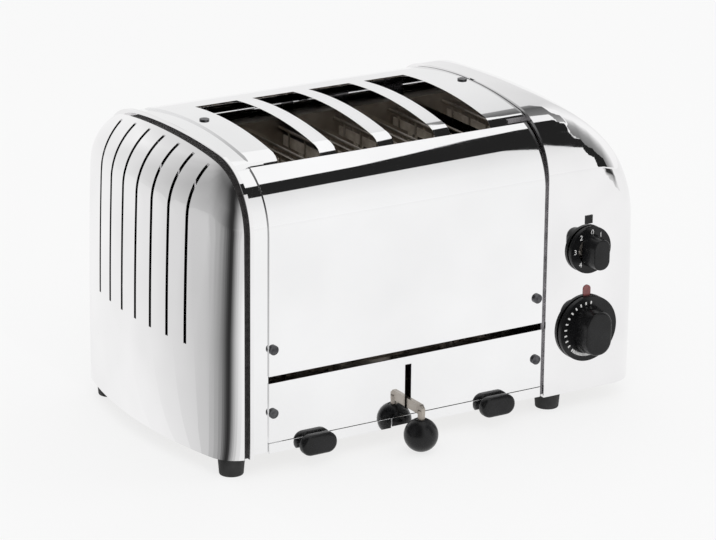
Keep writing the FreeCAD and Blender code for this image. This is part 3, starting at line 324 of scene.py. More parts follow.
class Tree:
    """The nodes of one new material."""

    def __init__(self, name):
        self.material = bpy.data.materials.new(name)
        self.material.use_nodes = True
        self.tree = self.material.node_tree
        self.shader = self.tree.nodes["Principled BSDF"]
        self.place = self.add("ShaderNodeTexCoord").outputs["Object"]

    def add(self, kind, **settings):
        node = self.tree.nodes.new(kind)
        for name, value in settings.items():
            setattr(node, name, value)
        return node

    def link(self, source, target):
        self.tree.links.new(source, target)

    def mapped(self, scale):
        mapping = self.add("ShaderNodeMapping")
        mapping.inputs["Scale"].default_value = scale
        self.link(self.place, mapping.inputs["Vector"])
        return mapping.outputs["Vector"]

    def noise(self, scale, detail=3.0, stretch=(1, 1, 1), roughness=0.55):
        texture = self.add("ShaderNodeTexNoise")
        texture.inputs["Scale"].default_value = scale
        texture.inputs["Detail"].default_value = detail
        texture.inputs["Roughness"].default_value = roughness
        self.link(self.mapped(stretch), texture.inputs["Vector"])
        return texture.outputs["Fac"]

    def ranged(self, value, low, high):
        spread = self.add("ShaderNodeMapRange")
        for name, number in (("From Min", NOISE_LOW), ("From Max", NOISE_HIGH),
                             ("To Min", low), ("To Max", high)):
            spread.inputs[name].default_value = number
        self.link(value, spread.inputs["Value"])
        return spread.outputs["Result"]

    def tinted(self, value, low, high):
        ramp = self.add("ShaderNodeValToRGB")
        ramp.color_ramp.elements[0].position = NOISE_LOW
        ramp.color_ramp.elements[0].color = (*low, 1)
        ramp.color_ramp.elements[1].position = NOISE_HIGH
        ramp.color_ramp.elements[1].color = (*high, 1)
        self.link(value, ramp.inputs["Fac"])
        return ramp.outputs["Color"]

    def bump(self, value, depth, strength=1.0, below=None):
        bump = self.add("ShaderNodeBump")
        bump.inputs["Distance"].default_value = depth
        bump.inputs["Strength"].default_value = strength
        self.link(value, bump.inputs["Height"])
        if below:
            self.link(below, bump.inputs["Normal"])
        return bump.outputs["Normal"]

    def set(self, **inputs):
        for name, value in inputs.items():
            socket = self.shader.inputs[name.replace("_", " ")]
            if isinstance(value, bpy.types.NodeSocket):
                self.link(value, socket)
            else:
                socket.default_value = value


def shade(colour, factor):
    return tuple(min(1.0, part * factor) for part in colour)


def polished_casting():
    colour = tuple(bpy.context.scene.toaster_finish.casting_colour)
    tree = Tree("polished_casting")
    cloud = tree.noise(14, 2)
    streaks = tree.noise(60, 4, (1, 1, 0.12))
    grain = tree.noise(1400, 2)
    wave = tree.bump(tree.noise(22, 1), 0.00012, 0.3)
    tree.set(Base_Color=tree.tinted(cloud, shade(colour, 0.95), shade(colour, 1.03)),
             Metallic=1.0, Roughness=tree.ranged(streaks, 0.012, 0.035),
             Normal=tree.bump(grain, 0.000003, 0.3, wave))
    return tree.material


# Near-black rough finish of the sheet in the left casting's groove: painted shade for the groove's
# shadow.
def raw_groove():
    tree = Tree("raw_groove")
    tree.set(Base_Color=tree.tinted(tree.noise(300, 3), (0.014, 0.012, 0.012), (0.04, 0.037, 0.037)),
             Roughness=tree.ranged(tree.noise(500, 2), 0.5, 0.7))
    return tree.material


def polished_steel():
    colour = tuple(bpy.context.scene.toaster_finish.steel_colour)
    tree = Tree("polished_steel")
    cloud = tree.noise(9, 3)
    brushed = tree.noise(420, 3, (1, 1, 0.02))
    wave = tree.bump(tree.noise(10, 1), 0.00012, 0.2)
    tree.set(Base_Color=tree.tinted(cloud, shade(colour, 0.96), shade(colour, 1.03)),
             Metallic=1.0, Roughness=tree.ranged(tree.noise(30, 4, (1, 1, 0.3)), 0.02, 0.045),
             Normal=tree.bump(brushed, 0.000003, 0.3, wave))
    return tree.material


def inner_steel():
    tree = Tree("inner_steel")
    tree.set(Base_Color=tree.tinted(tree.noise(40, 4), (0.34, 0.30, 0.26), (0.55, 0.51, 0.46)),
             Metallic=1.0, Roughness=tree.ranged(tree.noise(120, 3, (1, 1, 0.2)), 0.28, 0.5),
             Normal=tree.bump(tree.noise(500, 2), 0.00001, 0.4))
    return tree.material


def screw_steel():
    tree = Tree("screw_steel")
    tree.set(Base_Color=tree.tinted(tree.noise(300, 3), (0.05, 0.05, 0.055), (0.14, 0.14, 0.145)),
             Metallic=1.0, Roughness=tree.ranged(tree.noise(900, 2), 0.25, 0.42),
             Normal=tree.bump(tree.noise(1500, 2), 0.00001, 0.5))
    return tree.material


def black_plastic():
    colour = tuple(bpy.context.scene.toaster_finish.plastic_colour)
    tree = Tree("black_plastic")
    tree.set(Base_Color=tree.tinted(tree.noise(90, 3), shade(colour, 0.7), shade(colour, 1.5)),
             Specular_IOR_Level=0.3, Roughness=tree.ranged(tree.noise(260, 3), 0.22, 0.34),
             Normal=tree.bump(tree.noise(1800, 2), 0.000006, 0.25))
    return tree.material


# Dark steel for the right frame plate: painted shade for the seam lines between the right casting and
# the panels and cover.
def seam_steel():
    tree = Tree("seam_steel")
    tree.set(Base_Color=tree.tinted(tree.noise(200, 3), (0.16, 0.155, 0.16), (0.28, 0.27, 0.28)),
             Metallic=1.0, Roughness=tree.ranged(tree.noise(600, 2), 0.2, 0.35),
             Normal=tree.bump(tree.noise(900, 2), 0.000006, 0.3))
    return tree.material


def black_rubber():
    tree = Tree("black_rubber")
    tree.set(Base_Color=tree.tinted(tree.noise(200, 3), (0.012, 0.012, 0.012), (0.03, 0.03, 0.03)),
             Roughness=tree.ranged(tree.noise(400, 3), 0.6, 0.8),
             Normal=tree.bump(tree.noise(1500, 3), 0.00004, 0.5))
    return tree.material


def mica():
    tree = Tree("mica")
    flakes = tree.noise(140, 5, (1, 1, 1), 0.7)
    tree.set(Base_Color=tree.tinted(flakes, (0.46, 0.40, 0.33), (0.78, 0.71, 0.62)),
             Roughness=tree.ranged(flakes, 0.35, 0.65), Normal=tree.bump(flakes, 0.00005, 0.5))
    return tree.material


def heating_wire():
    tree = Tree("heating_wire")
    tree.set(Base_Color=tree.tinted(tree.noise(220, 3), (0.12, 0.09, 0.07), (0.25, 0.2, 0.17)),
             Metallic=1.0, Roughness=tree.ranged(tree.noise(500, 2), 0.35, 0.55))
    return tree.material


def red_lens():
    tree = Tree("red_lens")
    tree.set(Base_Color=tree.tinted(tree.noise(500, 2), (0.15, 0.045, 0.045), (0.24, 0.075, 0.075)),
             Roughness=tree.ranged(tree.noise(300, 2), 0.12, 0.22),
             Normal=tree.bump(tree.noise(900, 2), 0.00002, 0.3))
    return tree.material


def cream_ceramic():
    tree = Tree("cream_ceramic")
    tree.set(Base_Color=tree.tinted(tree.noise(80, 3), (0.72, 0.68, 0.58), (0.82, 0.78, 0.7)),
             Roughness=tree.ranged(tree.noise(150, 2), 0.35, 0.5),
             Normal=tree.bump(tree.noise(600, 2), 0.00003, 0.3))
    return tree.material


def dial_print():
    colour = tuple(bpy.context.scene.toaster_finish.print_colour)
    tree = Tree("dial_print")
    tree.set(Base_Color=tree.tinted(tree.noise(900, 3), shade(colour, 0.85), shade(colour, 1.05)),
             Roughness=tree.ranged(tree.noise(700, 2), 0.4, 0.55))
    return tree.material


FINISHES = {}


class TOASTER_OT_finishes(bpy.types.Operator):
    """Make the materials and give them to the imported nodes"""
    bl_idname = "toaster.finishes"
    bl_label = "Finishes"

    def execute(self, context):
        for maker in (polished_casting, raw_groove, polished_steel, inner_steel, seam_steel,
                      screw_steel, black_plastic, black_rubber, mica, heating_wire, red_lens,
                      cream_ceramic, dial_print):
            FINISHES[maker.__name__] = maker()
        for name, node in NODES.items():
            if not node.material_slots:
                node.data.materials.append(None)
            for slot in node.material_slots:
                slot.material = FINISHES[SLOT_OF[name]]
        return {"FINISHED"}


# Pieces.

# Points along one side, shoulder and half crown of a casting, rows along its wall and its end, and
# the power that crowds the end's rows towards its edge.
SIDE_STEPS = 30
SHOULDER_STEPS = 26
CROWN_STEPS = 20
WALL_STEPS = 12
END_STEPS = 40
END_SPREAD = 1.5

# How often the search for a casting's surface halves its ray, and the ray's length as a multiple of
# the way to its aim.
HALVINGS = 26
RAY_REACH = 1.6

# Small edge of the rim and the groove, as a share of the rim, and rounded edges of the wall.
LIP_SHARE = 0.1
WALL_BEVEL = 0.1

# Radii of the holes for the dial shafts and the cord gland, and the length of the rods that cut them.
SHAFT_HOLE = 5 * MM
GLAND_HOLE = 7.2 * MM
CUTTER_LENGTH = 20 * MM


def arch_centres(half, top):
    """Height of the crown's centre, and the place and height of the centres of the shoulders."""
    sizes = bpy.context.scene.toaster_casting
    low = top - sizes.crown
    centre = half - sizes.shoulder
    return low, centre, low + math.sqrt((sizes.crown - sizes.shoulder) ** 2 - centre ** 2)


def arch_distance(point, half, top):
    """Distance outside the sides, shoulders and crown of a casting, and the way out (y, z)."""
    sizes = bpy.context.scene.toaster_casting
    low, centre, spring = arch_centres(half, top)
    side, z = abs(point.y), point.z
    if z > spring and side * (spring - low) > centre * (z - low):
        reach = max(math.hypot(side - centre, z - spring), 1e-9)
        return reach - sizes.shoulder, (side - centre) / reach, (z - spring) / reach
    reach = math.hypot(side, z - low)
    if reach - sizes.crown > side - half:
        return reach - sizes.crown, side / reach, (z - low) / reach
    return side - half, 1.0, 0.0


def drum_distance(point, end, top, roll):
    """Distance outside an upright drum with a rolled top, and the way out (y, z)."""
    sizes = bpy.context.scene.toaster_casting
    across = point.x - end + sizes.bow
    reach = max(math.hypot(across, point.y), 1e-9)
    out = reach - sizes.bow + (point.z - sizes.rise_middle) ** 2 / (2 * sizes.rise)
    up = point.z - top
    if out + roll > 0 and up + roll > 0:
        length = max(math.hypot(out + roll, up + roll), 1e-9)
        share = (out + roll) / length
        return length - roll, share * abs(point.y) / reach, (up + roll) / length
    if out > up:
        return out, abs(point.y) / reach, 0.0
    return up, 0.0, 1.0


def casting_distance(point, box, inset, end_inset, roll):
    """Distance outside a casting whose end lies towards +X, its edges rolled over."""
    end, half, top = box
    arch, arch_y, arch_z = arch_distance(point, half, top)
    drum, drum_y, drum_z = drum_distance(point, end, top, roll)
    arch += inset
    drum += end_inset
    likeness = max(0.0, arch_y * drum_y + arch_z * drum_z)
    radius = (bpy.context.scene.toaster_casting.side_roll - inset) * (1 - likeness)
    along, across = arch + radius, drum + radius
    if along > 0 and across > 0:
        return math.hypot(along, across) - radius
    return max(along, across) - radius


def arch_places(half, top, bottom):
    """Points (y, z) round the arch with their outward directions, from the front foot to the rear."""
    sizes = bpy.context.scene.toaster_casting
    low, centre, spring = arch_centres(half, top)
    lean = math.asin(centre / (sizes.crown - sizes.shoulder))
    places = []
    for step in range(SIDE_STEPS):
        places.append((-half, bottom + (spring - bottom) * step / SIDE_STEPS, -1, 0))
    for step in range(SHOULDER_STEPS):
        angle = (math.pi / 2 - lean) * step / SHOULDER_STEPS
        across, up = math.cos(angle), math.sin(angle)
        places.append((-centre - sizes.shoulder * across, spring + sizes.shoulder * up, -across, up))
    for step in range(CROWN_STEPS + 1):
        angle = lean * (1 - step / CROWN_STEPS)
        across, up = math.sin(angle), math.cos(angle)
        places.append((-sizes.crown * across, low + sizes.crown * up, -across, up))
    return places + [(-y, z, -across, up) for y, z, across, up in reversed(places[:-1])]


def on_casting(start, aim, box, inset, end_inset, roll):
    """The place where the ray from a point inside the casting towards another leaves it."""
    ray = Vector(aim) - start
    near, far = 0.0, RAY_REACH
    for _ in range(HALVINGS):
        middle = (near + far) / 2
        if casting_distance(start + ray * middle, box, inset, end_inset, roll) > 0:
            far = middle
        else:
            near = middle
    return start + ray * near


def dome_rows(places, box, bottom, start, inset, end_inset, roll):
    """Rows of points from the start of a dome to the middle of its foot."""
    end = box[0]
    foot = Vector((start, 0, bottom))
    rows = []
    for step in range(WALL_STEPS + 1):
        x = start + (end - start) * step / WALL_STEPS
        rows.append([on_casting(foot, (x, y, z), box, inset, end_inset, roll)
                     for y, z, _, _ in places])
    for step in range(1, END_STEPS + 1):
        share = 1 - (step / END_STEPS) ** END_SPREAD
        rows.append([on_casting(foot, (end, y * share, bottom + (z - bottom) * share), box, inset,
                                end_inset, roll) for y, z, _, _ in places])
    return rows


def ring_row(row, places, x, inset):
    """A row of points at a distance x, laid inside the row of a dome."""
    return [Vector((x, place.y - across * inset, place.z - up * inset))
            for place, (_, _, across, up) in zip(row, places)]


def grooved_rows(places, box, bottom, near, roll):
    """Rows of the outside of a casting with a rim and a groove, and rows of a dark sheet of painted
    shade in the groove.
    """
    sizes = bpy.context.scene.toaster_casting
    depth = sizes.groove_depth
    lip = LIP_SHARE * sizes.rim
    foot = near + sizes.rim
    start = foot + sizes.groove
    inside = Vector((near, 0, bottom))
    dome = dome_rows(places, box, bottom, start, 2 * lip, 0, roll)
    edge = [on_casting(inside, (near, y, z), box, 0, 0, roll) for y, z, _, _ in places]
    rows = [edge, ring_row(edge, places, foot - lip, 0), ring_row(edge, places, foot, lip),
            ring_row(dome[0], places, foot, depth), ring_row(dome[0], places, start, depth)] + dome
    return rows, [ring_row(dome[0], places, x, depth - lip) for x in (foot, start)]


def sheet_of(rows, name):
    """A grid whose points lie in the given rows."""
    columns = len(rows[0]) - 1
    bpy.ops.mesh.primitive_grid_add(x_subdivisions=columns, y_subdivisions=len(rows) - 1, size=1)
    obj = bpy.context.object
    obj.name = name
    for vert in obj.data.vertices:
        column = round((vert.co.x + 0.5) * columns)
        row = round((vert.co.y + 0.5) * (len(rows) - 1))
        vert.co = rows[row][column]
    return obj


def close_foot(obj):
    """Merges the points at the middle of the foot and closes the underside of the walls."""
    edit(obj)
    bpy.ops.mesh.select_all(action="SELECT")
    bpy.ops.mesh.remove_doubles(threshold=1e-6)
    bpy.ops.mesh.select_mode(type="EDGE")
    bpy.ops.mesh.select_all(action="DESELECT")
    bpy.ops.mesh.select_non_manifold(use_wire=False, use_multi_face=False,
                                     use_non_contiguous=False, use_verts=False)
    bpy.ops.mesh.edge_face_add()
    bpy.ops.mesh.select_all(action="SELECT")
    bpy.ops.mesh.normals_make_consistent(inside=False)
    leave_edit()


def block(name, low, high):
    """A block between two corners."""
    bpy.ops.mesh.primitive_cube_add(size=1, location=(Vector(low) + Vector(high)) / 2)
    obj = bpy.context.object
    obj.name = name
    obj.scale = Vector(high) - Vector(low)
    apply_place(obj)
    return obj


def rod(name, place, radius, length):
    """A bar along Y."""
    bpy.ops.mesh.primitive_cylinder_add(vertices=48, radius=radius, depth=length, location=place,
                                        rotation=(math.pi / 2, 0, 0))
    obj = bpy.context.object
    obj.name = name
    apply_place(obj)
    return obj


def subtract(obj, tools):
    """Cuts the tools out of a piece and removes them."""
    tool = join(tools, "tool")
    apply_modifier(obj, "BOOLEAN", object=tool, operation="DIFFERENCE", solver="EXACT")
    bpy.data.objects.remove(tool)


def louvre_tools(end, top):
    """Blocks that cut the louvres of an end towards +X."""
    sizes = bpy.context.scene.toaster_casting
    tools = []
    for index in range(sizes.louvres):
        y = (index - (sizes.louvres - 1) / 2) * sizes.louvre_pitch
        half = sizes.louvre_width / 2
        tools.append(block("louvre", (end - sizes.louvre_reach, y - half, sizes.louvre_bottom),
                           (end + sizes.wall, y + half, top)))
    return tools


def groove_lining(node, side, rows):
    """Thin dark sheet in the groove of a casting: painted shade for the groove's shadow."""
    shade_rows = sheet_of(rows, "groove")
    shade_rows.data.transform(Matrix.Diagonal((side, 1, 1, 1)))
    apply_modifier(shade_rows, "SOLIDIFY",
                   thickness=LIP_SHARE * bpy.context.scene.toaster_casting.rim / 2)
    settle(shade_rows, node + "_groove", "frame", SLOT_OF[node], material=FINISHES["raw_groove"])


def casting(node, side, tools, roll, grooved):
    """Hollow casting, made with its end towards +X and turned over for the left end."""
    sizes = bpy.context.scene.toaster_casting
    low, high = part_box(node)
    near, end = sorted((abs(low.x), abs(high.x)))
    half, top, bottom = high.y, high.z, low.z
    box = (end, half, top)
    places = arch_places(half, top, bottom)
    wall = sizes.wall + (sizes.groove_depth if grooved else 0)
    inner = list(reversed(dome_rows(places, box, bottom, near, wall, sizes.wall, roll)))
    if grooved:
        outer, shade_rows = grooved_rows(places, box, bottom, near, roll)
    else:
        outer = dome_rows(places, box, bottom, near, 0, 0, roll)
    obj = sheet_of(inner + outer, node)
    close_foot(obj)
    if side < 0:
        obj.data.transform(Matrix.Diagonal((-1, 1, 1, 1)))
        obj.data.flip_normals()
    if grooved:
        # The dark sheet in the groove is painted shade for the groove's shadow.
        groove_lining(node, side, shade_rows)
    subtract(obj, tools)
    apply_modifier(obj, "BEVEL", width=WALL_BEVEL * sizes.wall, segments=2, limit_method="ANGLE",
                   angle_limit=math.radians(55))
    smooth(obj, 40)
    apply_modifier(obj, "WEIGHTED_NORMAL", keep_sharp=True)
    settle(obj, node + "_finish", "frame", SLOT_OF[node], [node])


class TOASTER_OT_castings(bpy.types.Operator):
    """Smooth end castings with louvres"""
    bl_idname = "toaster.castings"
    bl_label = "End castings"

    def execute(self, context):
        sizes = context.scene.toaster_casting
        low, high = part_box("left_end_casting")
        tools = louvre_tools(-low.x, high.z)
        for tool in tools:
            tool.data.transform(Matrix.Diagonal((-1, 1, 1, 1)))
            tool.data.flip_normals()
        casting("left_end_casting", -1, tools, sizes.left_roll, True)
        low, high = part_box("right_end_casting")
        tools = louvre_tools(high.x, high.z)
        for name in ("timer_shaft", "selector_shaft"):
            near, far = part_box(name)
            place = ((near.x + far.x) / 2, low.y, (near.z + far.z) / 2)
            tools.append(rod(name, place, SHAFT_HOLE, CUTTER_LENGTH))
        near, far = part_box("cord_gland")
        place = ((near.x + far.x) / 2, high.y, (near.z + far.z) / 2)
        tools.append(rod("gland", place, GLAND_HOLE, CUTTER_LENGTH))
        casting("right_end_casting", 1, tools, sizes.right_roll, False)
        return {"FINISHED"}


class TOASTER_OT_sheets(bpy.types.Operator):
    """Panels, top cover, frame plates and tray lips with rounded edges"""
    bl_idname = "toaster.sheets"
    bl_label = "Steel sheets"

    def execute(self, context):
        radius = context.scene.toaster_finish.edge_radius
        for node in ("front_upper_panel", "front_lower_panel", "rear_panel", "left_frame_plate",
                     "tray_rail"):
            rounded_copy(node, radius)
        rounded_copy("top_cover", radius, shape=slope_risers)
        # The right frame plate gets dark steel, painted shade along its seams.
        rounded_copy("right_frame_plate", radius, material=FINISHES["seam_steel"])
        for side in ("left", "right"):
            rounded_copy(side + "_crumb_tray", radius, side + "_tray")
        return {"FINISHED"}


class TOASTER_OT_lever(bpy.types.Operator):
    """Lever arm and its ball"""
    bl_idname = "toaster.lever"
    bl_label = "Lift lever"

    def execute(self, context):
        inside_box = 0.05 * MM
        low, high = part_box("lever_ball")
        middle = (low + high) / 2
        radius = (high.x - low.x) / 2 - inside_box
        bpy.ops.mesh.primitive_uv_sphere_add(segments=64, ring_count=32, radius=radius,
                                             location=middle)
        ball = context.object
        apply_place(ball)
        edit(ball)
        seat = middle.z + 0.94 * radius
        select_faces(ball, lambda centre, normal: centre.z > seat)
        bpy.ops.mesh.extrude_region_move(TRANSFORM_OT_translate={"value": (0, 0, -0.05 * radius)})
        leave_edit()
        smooth(ball, 50)
        settle(ball, "lever_ball_finish", "lift", "black_plastic", ["lever_ball"])
        rounded_copy("lever_arm", context.scene.toaster_finish.arm_radius, "lift")
        return {"FINISHED"}


class TOASTER_OT_tray_knobs(bpy.types.Operator):
    """Black knobs on the lips of the crumb trays"""
    bl_idname = "toaster.tray_knobs"
    bl_label = "Tray knobs"

    def execute(self, context):
        for side in ("left", "right"):
            low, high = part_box(side + "_tray_knob")
            size = high - low
            bpy.ops.mesh.primitive_cube_add(size=1, location=(low + high) / 2)
            knob = context.object
            knob.scale = size
            apply_place(knob)
            edit(knob)
            select_edges(knob, lambda start, end: abs(start.y - end.y) > size.y / 2)
            end_radius = 0.48 * size.z
            bpy.ops.mesh.bevel(offset=end_radius, segments=8, profile=0.5)
            leave_edit()
            rim_radius = size.y / 3.2
            apply_modifier(knob, "BEVEL", width=rim_radius, segments=4, limit_method="ANGLE",
                           angle_limit=math.radians(60))
            smooth(knob, 40)
            settle(knob, side + "_tray_knob_finish", side + "_tray", "black_plastic",
                   [side + "_tray_knob"])
        return {"FINISHED"}


class TOASTER_OT_feet(bpy.types.Operator):
    """Rubber feet with rounded rims"""
    bl_idname = "toaster.feet"
    bl_label = "Feet"

    def execute(self, context):
        radius = context.scene.toaster_finish.foot_radius
        for end in ("front", "rear"):
            for side in ("left", "right"):
                rounded_copy("%s_%s_foot" % (end, side), radius)
        return {"FINISHED"}


# Sizes of a dial as shares of its box, its skirt's radius or its grip's width.
SKIRT_IN_BOX = 0.49
SCALE_BORDER = 0.12
SCALE_STEP = 0.03
GRIP_CORNER = 0.46
GRIP_BEVEL = 0.08

# A grip's foot inside its skirt, and the rods that hollow a dial from behind: name, radius and
# length, of which half lies inside.
GRIP_SINK = 1 * MM
HOLLOWS = (("nut_room", 10.1 * MM, 6.2 * MM), ("shaft_room", 3.1 * MM, 23.8 * MM))

# Places of the marks as shares of the skirt's radius, and their angles in degrees.
TICK_REACH = 0.80
NUMBER_REACH = 0.76
TIMER_DOTS = range(84, 232, 13)
TIMER_ARC = range(232, 300, 3)
SELECTOR_ANGLES = (85, 50, 130, 180, 230)


def front_bevel(obj, place, width, segments):
    """Rounds the edges round the front face, which lies at a place on Y."""
    edit(obj)
    select_edges(obj, lambda start, end: max(abs(start.y - place), abs(end.y - place)) < 1e-6)
    bpy.ops.mesh.bevel(offset=width, segments=segments, profile=0.6)
    leave_edit()


def dial_skirt(place, radius, back, front):
    """Round skirt with a rounded rim and a low step round its scale."""
    bpy.ops.mesh.primitive_cylinder_add(vertices=96, radius=radius, depth=back - front,
                                        location=(place.x, (back + front) / 2, place.z),
                                        rotation=(math.pi / 2, 0, 0))
    skirt = bpy.context.object
    apply_place(skirt)
    edit(skirt)
    select_faces(skirt, lambda centre, normal: normal.y < -0.9)
    bpy.ops.mesh.inset(thickness=SCALE_BORDER * radius)
    bpy.ops.transform.translate(value=(0, SCALE_STEP * radius, 0))
    leave_edit()
    front_bevel(skirt, front, SCALE_STEP * radius, 3)
    return skirt


def dial_grip(place, width, length, back, front):
    """Upright finger grip with round ends, a little narrower in front."""
    bpy.ops.mesh.primitive_cube_add(size=1, location=(place.x, (back + front) / 2, place.z))
    grip = bpy.context.object
    grip.scale = (width, back - front, length)
    apply_place(grip)
    edit(grip)
    select_edges(grip, lambda start, end: abs(start.y - end.y) > 0.1 * MM)
    bpy.ops.mesh.bevel(offset=GRIP_CORNER * width, segments=8, profile=0.5)
    select_faces(grip, lambda centre, normal: normal.y < -0.9)
    taper = bpy.context.scene.toaster_dials.grip_taper
    bpy.ops.transform.resize(value=(taper, 1, 0.5 + taper / 2), center_override=place)
    leave_edit()
    front_bevel(grip, front, GRIP_BEVEL * width, 4)
    return grip


def round_place(place, reach, angle, y):
    """A point on the face of a dial, at an angle from its right."""
    return Vector((place.x + reach * math.cos(angle), y, place.z + reach * math.sin(angle)))


def dial_ticks(place, reach, y, angles, length, width):
    """Raised marks that point outwards on the face of a dial."""
    size = Matrix.Diagonal((length, 0.1 * MM, width, 1))
    ticks = []
    for angle in angles:
        bpy.ops.mesh.primitive_cube_add(size=1)
        tick = bpy.context.object
        tick.data.transform(Matrix.Translation(round_place(place, reach, angle, y))
                            @ Matrix.Rotation(-angle, 4, "Y") @ size)
        ticks.append(tick)
    return ticks


def dial_numbers(place, reach, y, marks, size):
    """Raised numbers on the face of a dial."""
    numbers = []
    for mark, angle in marks:
        bpy.ops.object.text_add(location=round_place(place, reach, angle, y),
                                rotation=(math.pi / 2, 0, 0))
        text = bpy.context.object
        text.data.body = mark
        text.data.size = size
        text.data.align_x = "CENTER"
        text.data.align_y = "CENTER"
        text.data.extrude = 0.05 * MM
        text.data.resolution_u = 3
        bpy.ops.object.convert(target="MESH")
        apply_place(text)
        numbers.append(text)
    return numbers


def dial(name, grip_width, grip_length, make_scale):
    """A dial: skirt, grip, hollows for the nut and the shaft, and its scale."""
    low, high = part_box(name + "_knob")
    radius = SKIRT_IN_BOX * (high.x - low.x)
    place = Vector(((low.x + high.x) / 2, low.y, (low.z + high.z) / 2))
    back, front = high.y, low.y
    skirt_front = back - bpy.context.scene.toaster_dials.skirt_depth
    skirt = dial_skirt(place, radius, back, skirt_front)
    grip = dial_grip(place, grip_width, grip_length, skirt_front + GRIP_SINK, front)
    for part in (skirt, grip):
        for hollow, hollow_radius, length in HOLLOWS:
            subtract(part, [rod(hollow, (place.x, back, place.z), hollow_radius, length)])
    knob = join([skirt, grip], "knob")
    smooth(knob)
    settle(knob, name + "_knob_finish", name + "_dial", "black_plastic", [name + "_knob"])
    scale = make_scale(place, radius, skirt_front + SCALE_STEP * radius)
    marks = join(scale, name + "_scale")
    settle(marks, name + "_scale", name + "_dial", "black_plastic", material=FINISHES["dial_print"])


def timer_scale(place, radius, y):
    """Marks round the timer, which run together into an arc at their end."""
    sizes = bpy.context.scene.toaster_dials
    ticks = []
    for angles, widening in ((TIMER_DOTS, 1.6), (TIMER_ARC, 1.8)):
        ticks += dial_ticks(place, TICK_REACH * radius, y, [math.radians(angle) for angle in angles],
                            sizes.tick_length, widening * sizes.tick_width)
    return ticks


def selector_scale(place, radius, y):
    """Plain numbers round the selector."""
    sizes = bpy.context.scene.toaster_dials
    marks = [(str(index), math.radians(angle)) for index, angle in enumerate(SELECTOR_ANGLES)]
    return dial_numbers(place, NUMBER_REACH * radius, y, marks, sizes.number_size)


class TOASTER_OT_dials(bpy.types.Operator):
    """Timer and selector dials with skirts, grips and scales"""
    bl_idname = "toaster.dials"
    bl_label = "Dials"

    def execute(self, context):
        sizes = context.scene.toaster_dials
        dial("timer", sizes.timer_width, sizes.timer_length, timer_scale)
        dial("selector", sizes.selector_width, sizes.selector_length, selector_scale)
        return {"FINISHED"}


# Stage.

# Cards: directions to the right of the front and heights in degrees, and the tone
# at each of these places. A card at the left fades from light into a dark upright and back.
LEFT_DIRECTIONS = (-180, -160, -150, -140, -130, -120, -105, -85, -70, -62, -56, -50, -44, -38,
                   -34, -29, -23, -14, 0)
LEFT_FLOOR = (0.96, 0.93, 0.87, 0.78, 0.66, 0.53, 0.43, 0.33, 0.2, 0.12, 0.06, 0.03, 0.035, 0.15,
              0.27, 0.43, 0.6, 0.78, 1.0)
LEFT_LOW = (1.0, 1.0, 0.8, 0.62, 0.46, 0.4, 0.34, 0.3, 0.23, 0.16, 0.1, 0.045, 0.03, 0.03, 0.08,
            0.17, 0.34, 0.56, 1.0)
LEFT_HIGH = (0.36, 0.33, 0.3, 0.26, 0.22, 0.2, 0.17, 0.14, 0.1, 0.06, 0.04, 0.03, 0.025, 0.025,
             0.03, 0.04, 0.1, 0.4, 1.0)
LEFT_ROWS = ((-2, LEFT_FLOOR), (25, LEFT_LOW), (58, LEFT_HIGH), (80, LEFT_HIGH))

# One tone and the left and right border, row by row, of the dark strip that stands at the right of
# the front and arches over the right end.
STRIP_TONE = 0.018
DARK_STRIP = (((38, 0), (52, 0)), ((38.2, 12), (50, 15)), ((38.6, 20), (46.5, 22)),
              ((39, 25), (45.5, 27)), ((40.4, 30.5), (46, 32)), ((42.8, 36), (48, 37)),
              ((46, 41.3), (50, 41.5)), ((48.8, 45.2), (53, 44)), ((22, 42), (55, 46)),
              ((18, 47), (58, 48.5)), ((22, 53), (64, 50.5)), ((34, 57.4), (76, 53.6)),
              ((62, 58), (90, 55.5)), ((86, 58.6), (92, 57)))

# Places with their tones, row by row from the lowest.
GREY_CORNER = (((44, 0, 0.2), (54, 0, 0.3), (64, 0, 0.6), (76, 0, 1.0)),
               ((44, 18, 0.2), (56, 18, 0.3), (68, 18, 0.6), (82, 18, 1.0)),
               ((45, 34, 0.2), (60, 34, 0.32), (74, 34, 0.6), (92, 34, 1.0)),
               ((56, 46, 0.2), (70, 45, 0.35), (84, 44, 0.6), (100, 43, 1.0)),
               ((70, 52, 0.3), (84, 51, 0.4), (96, 50, 0.7), (108, 49, 1.0)))
BACK_ARC = (((84, 52, 0.4), (84, 55, 0.4)), ((104, 50, 0.25), (104, 54, 0.25)),
            ((116, 49, 0.2), (116, 53, 0.2)), ((124, 45, 0.16), (125, 49, 0.16)),
            ((130, 41, 0.12), (132, 45, 0.12)), ((136, 36, 0.3), (139, 39, 0.3)))
FRONT_SKY = (((8, 0, 0.97), (60, 0, 0.97)), ((8, 20, 0.93), (60, 20, 0.93)),
             ((8, 44, 0.78), (60, 44, 0.78)), ((8, 47, 1.0), (60, 47, 1.0)))

# Directions with their tones, the same at each height.
BACK_TONES = ((112, 1.0), (126, 0.9), (136, 0.76), (144, 0.86), (152, 0.88), (164, 0.9), (180, 1.0))
BACK_HEIGHTS = (0, 18, 40)

# Fans on the floor: corner of the body that they spread from, how far each row lies from it, and
# the directions and tones of the dark one.
LEFT_CORNER = Vector((-0.165, -0.085, 0.0005))
LEFT_REACHES = (0.001, 0.3, 3.2)
RIGHT_CORNER = Vector((0.15, -0.085, 0.0005))
RIGHT_REACHES = (0.8, 1.2, 3.1)
RIGHT_DIRECTIONS = (40, 45, 55, 62)
RIGHT_FLOOR = ((0.95, 0.7, 0.7, 0.95), (0.8, 0.04, 0.04, 0.8), (0.7, 0.02, 0.02, 0.7))

# Places and sizes of the lamps.
KEY_PLACE = (-0.9, -1.6, 1.9)
KEY_SIZE = (1.4, 1.0)
FILL_PLACE = (1.9, -0.8, 1.2)
FILL_SIZE = (1.2, 1.2)

# Light of the world on the body, the floor's white and how much of the floor is that white.
GROUND_STRENGTH = 0.92
FLOOR_WHITE = 0.948
FLOOR_SHARE = 0.8


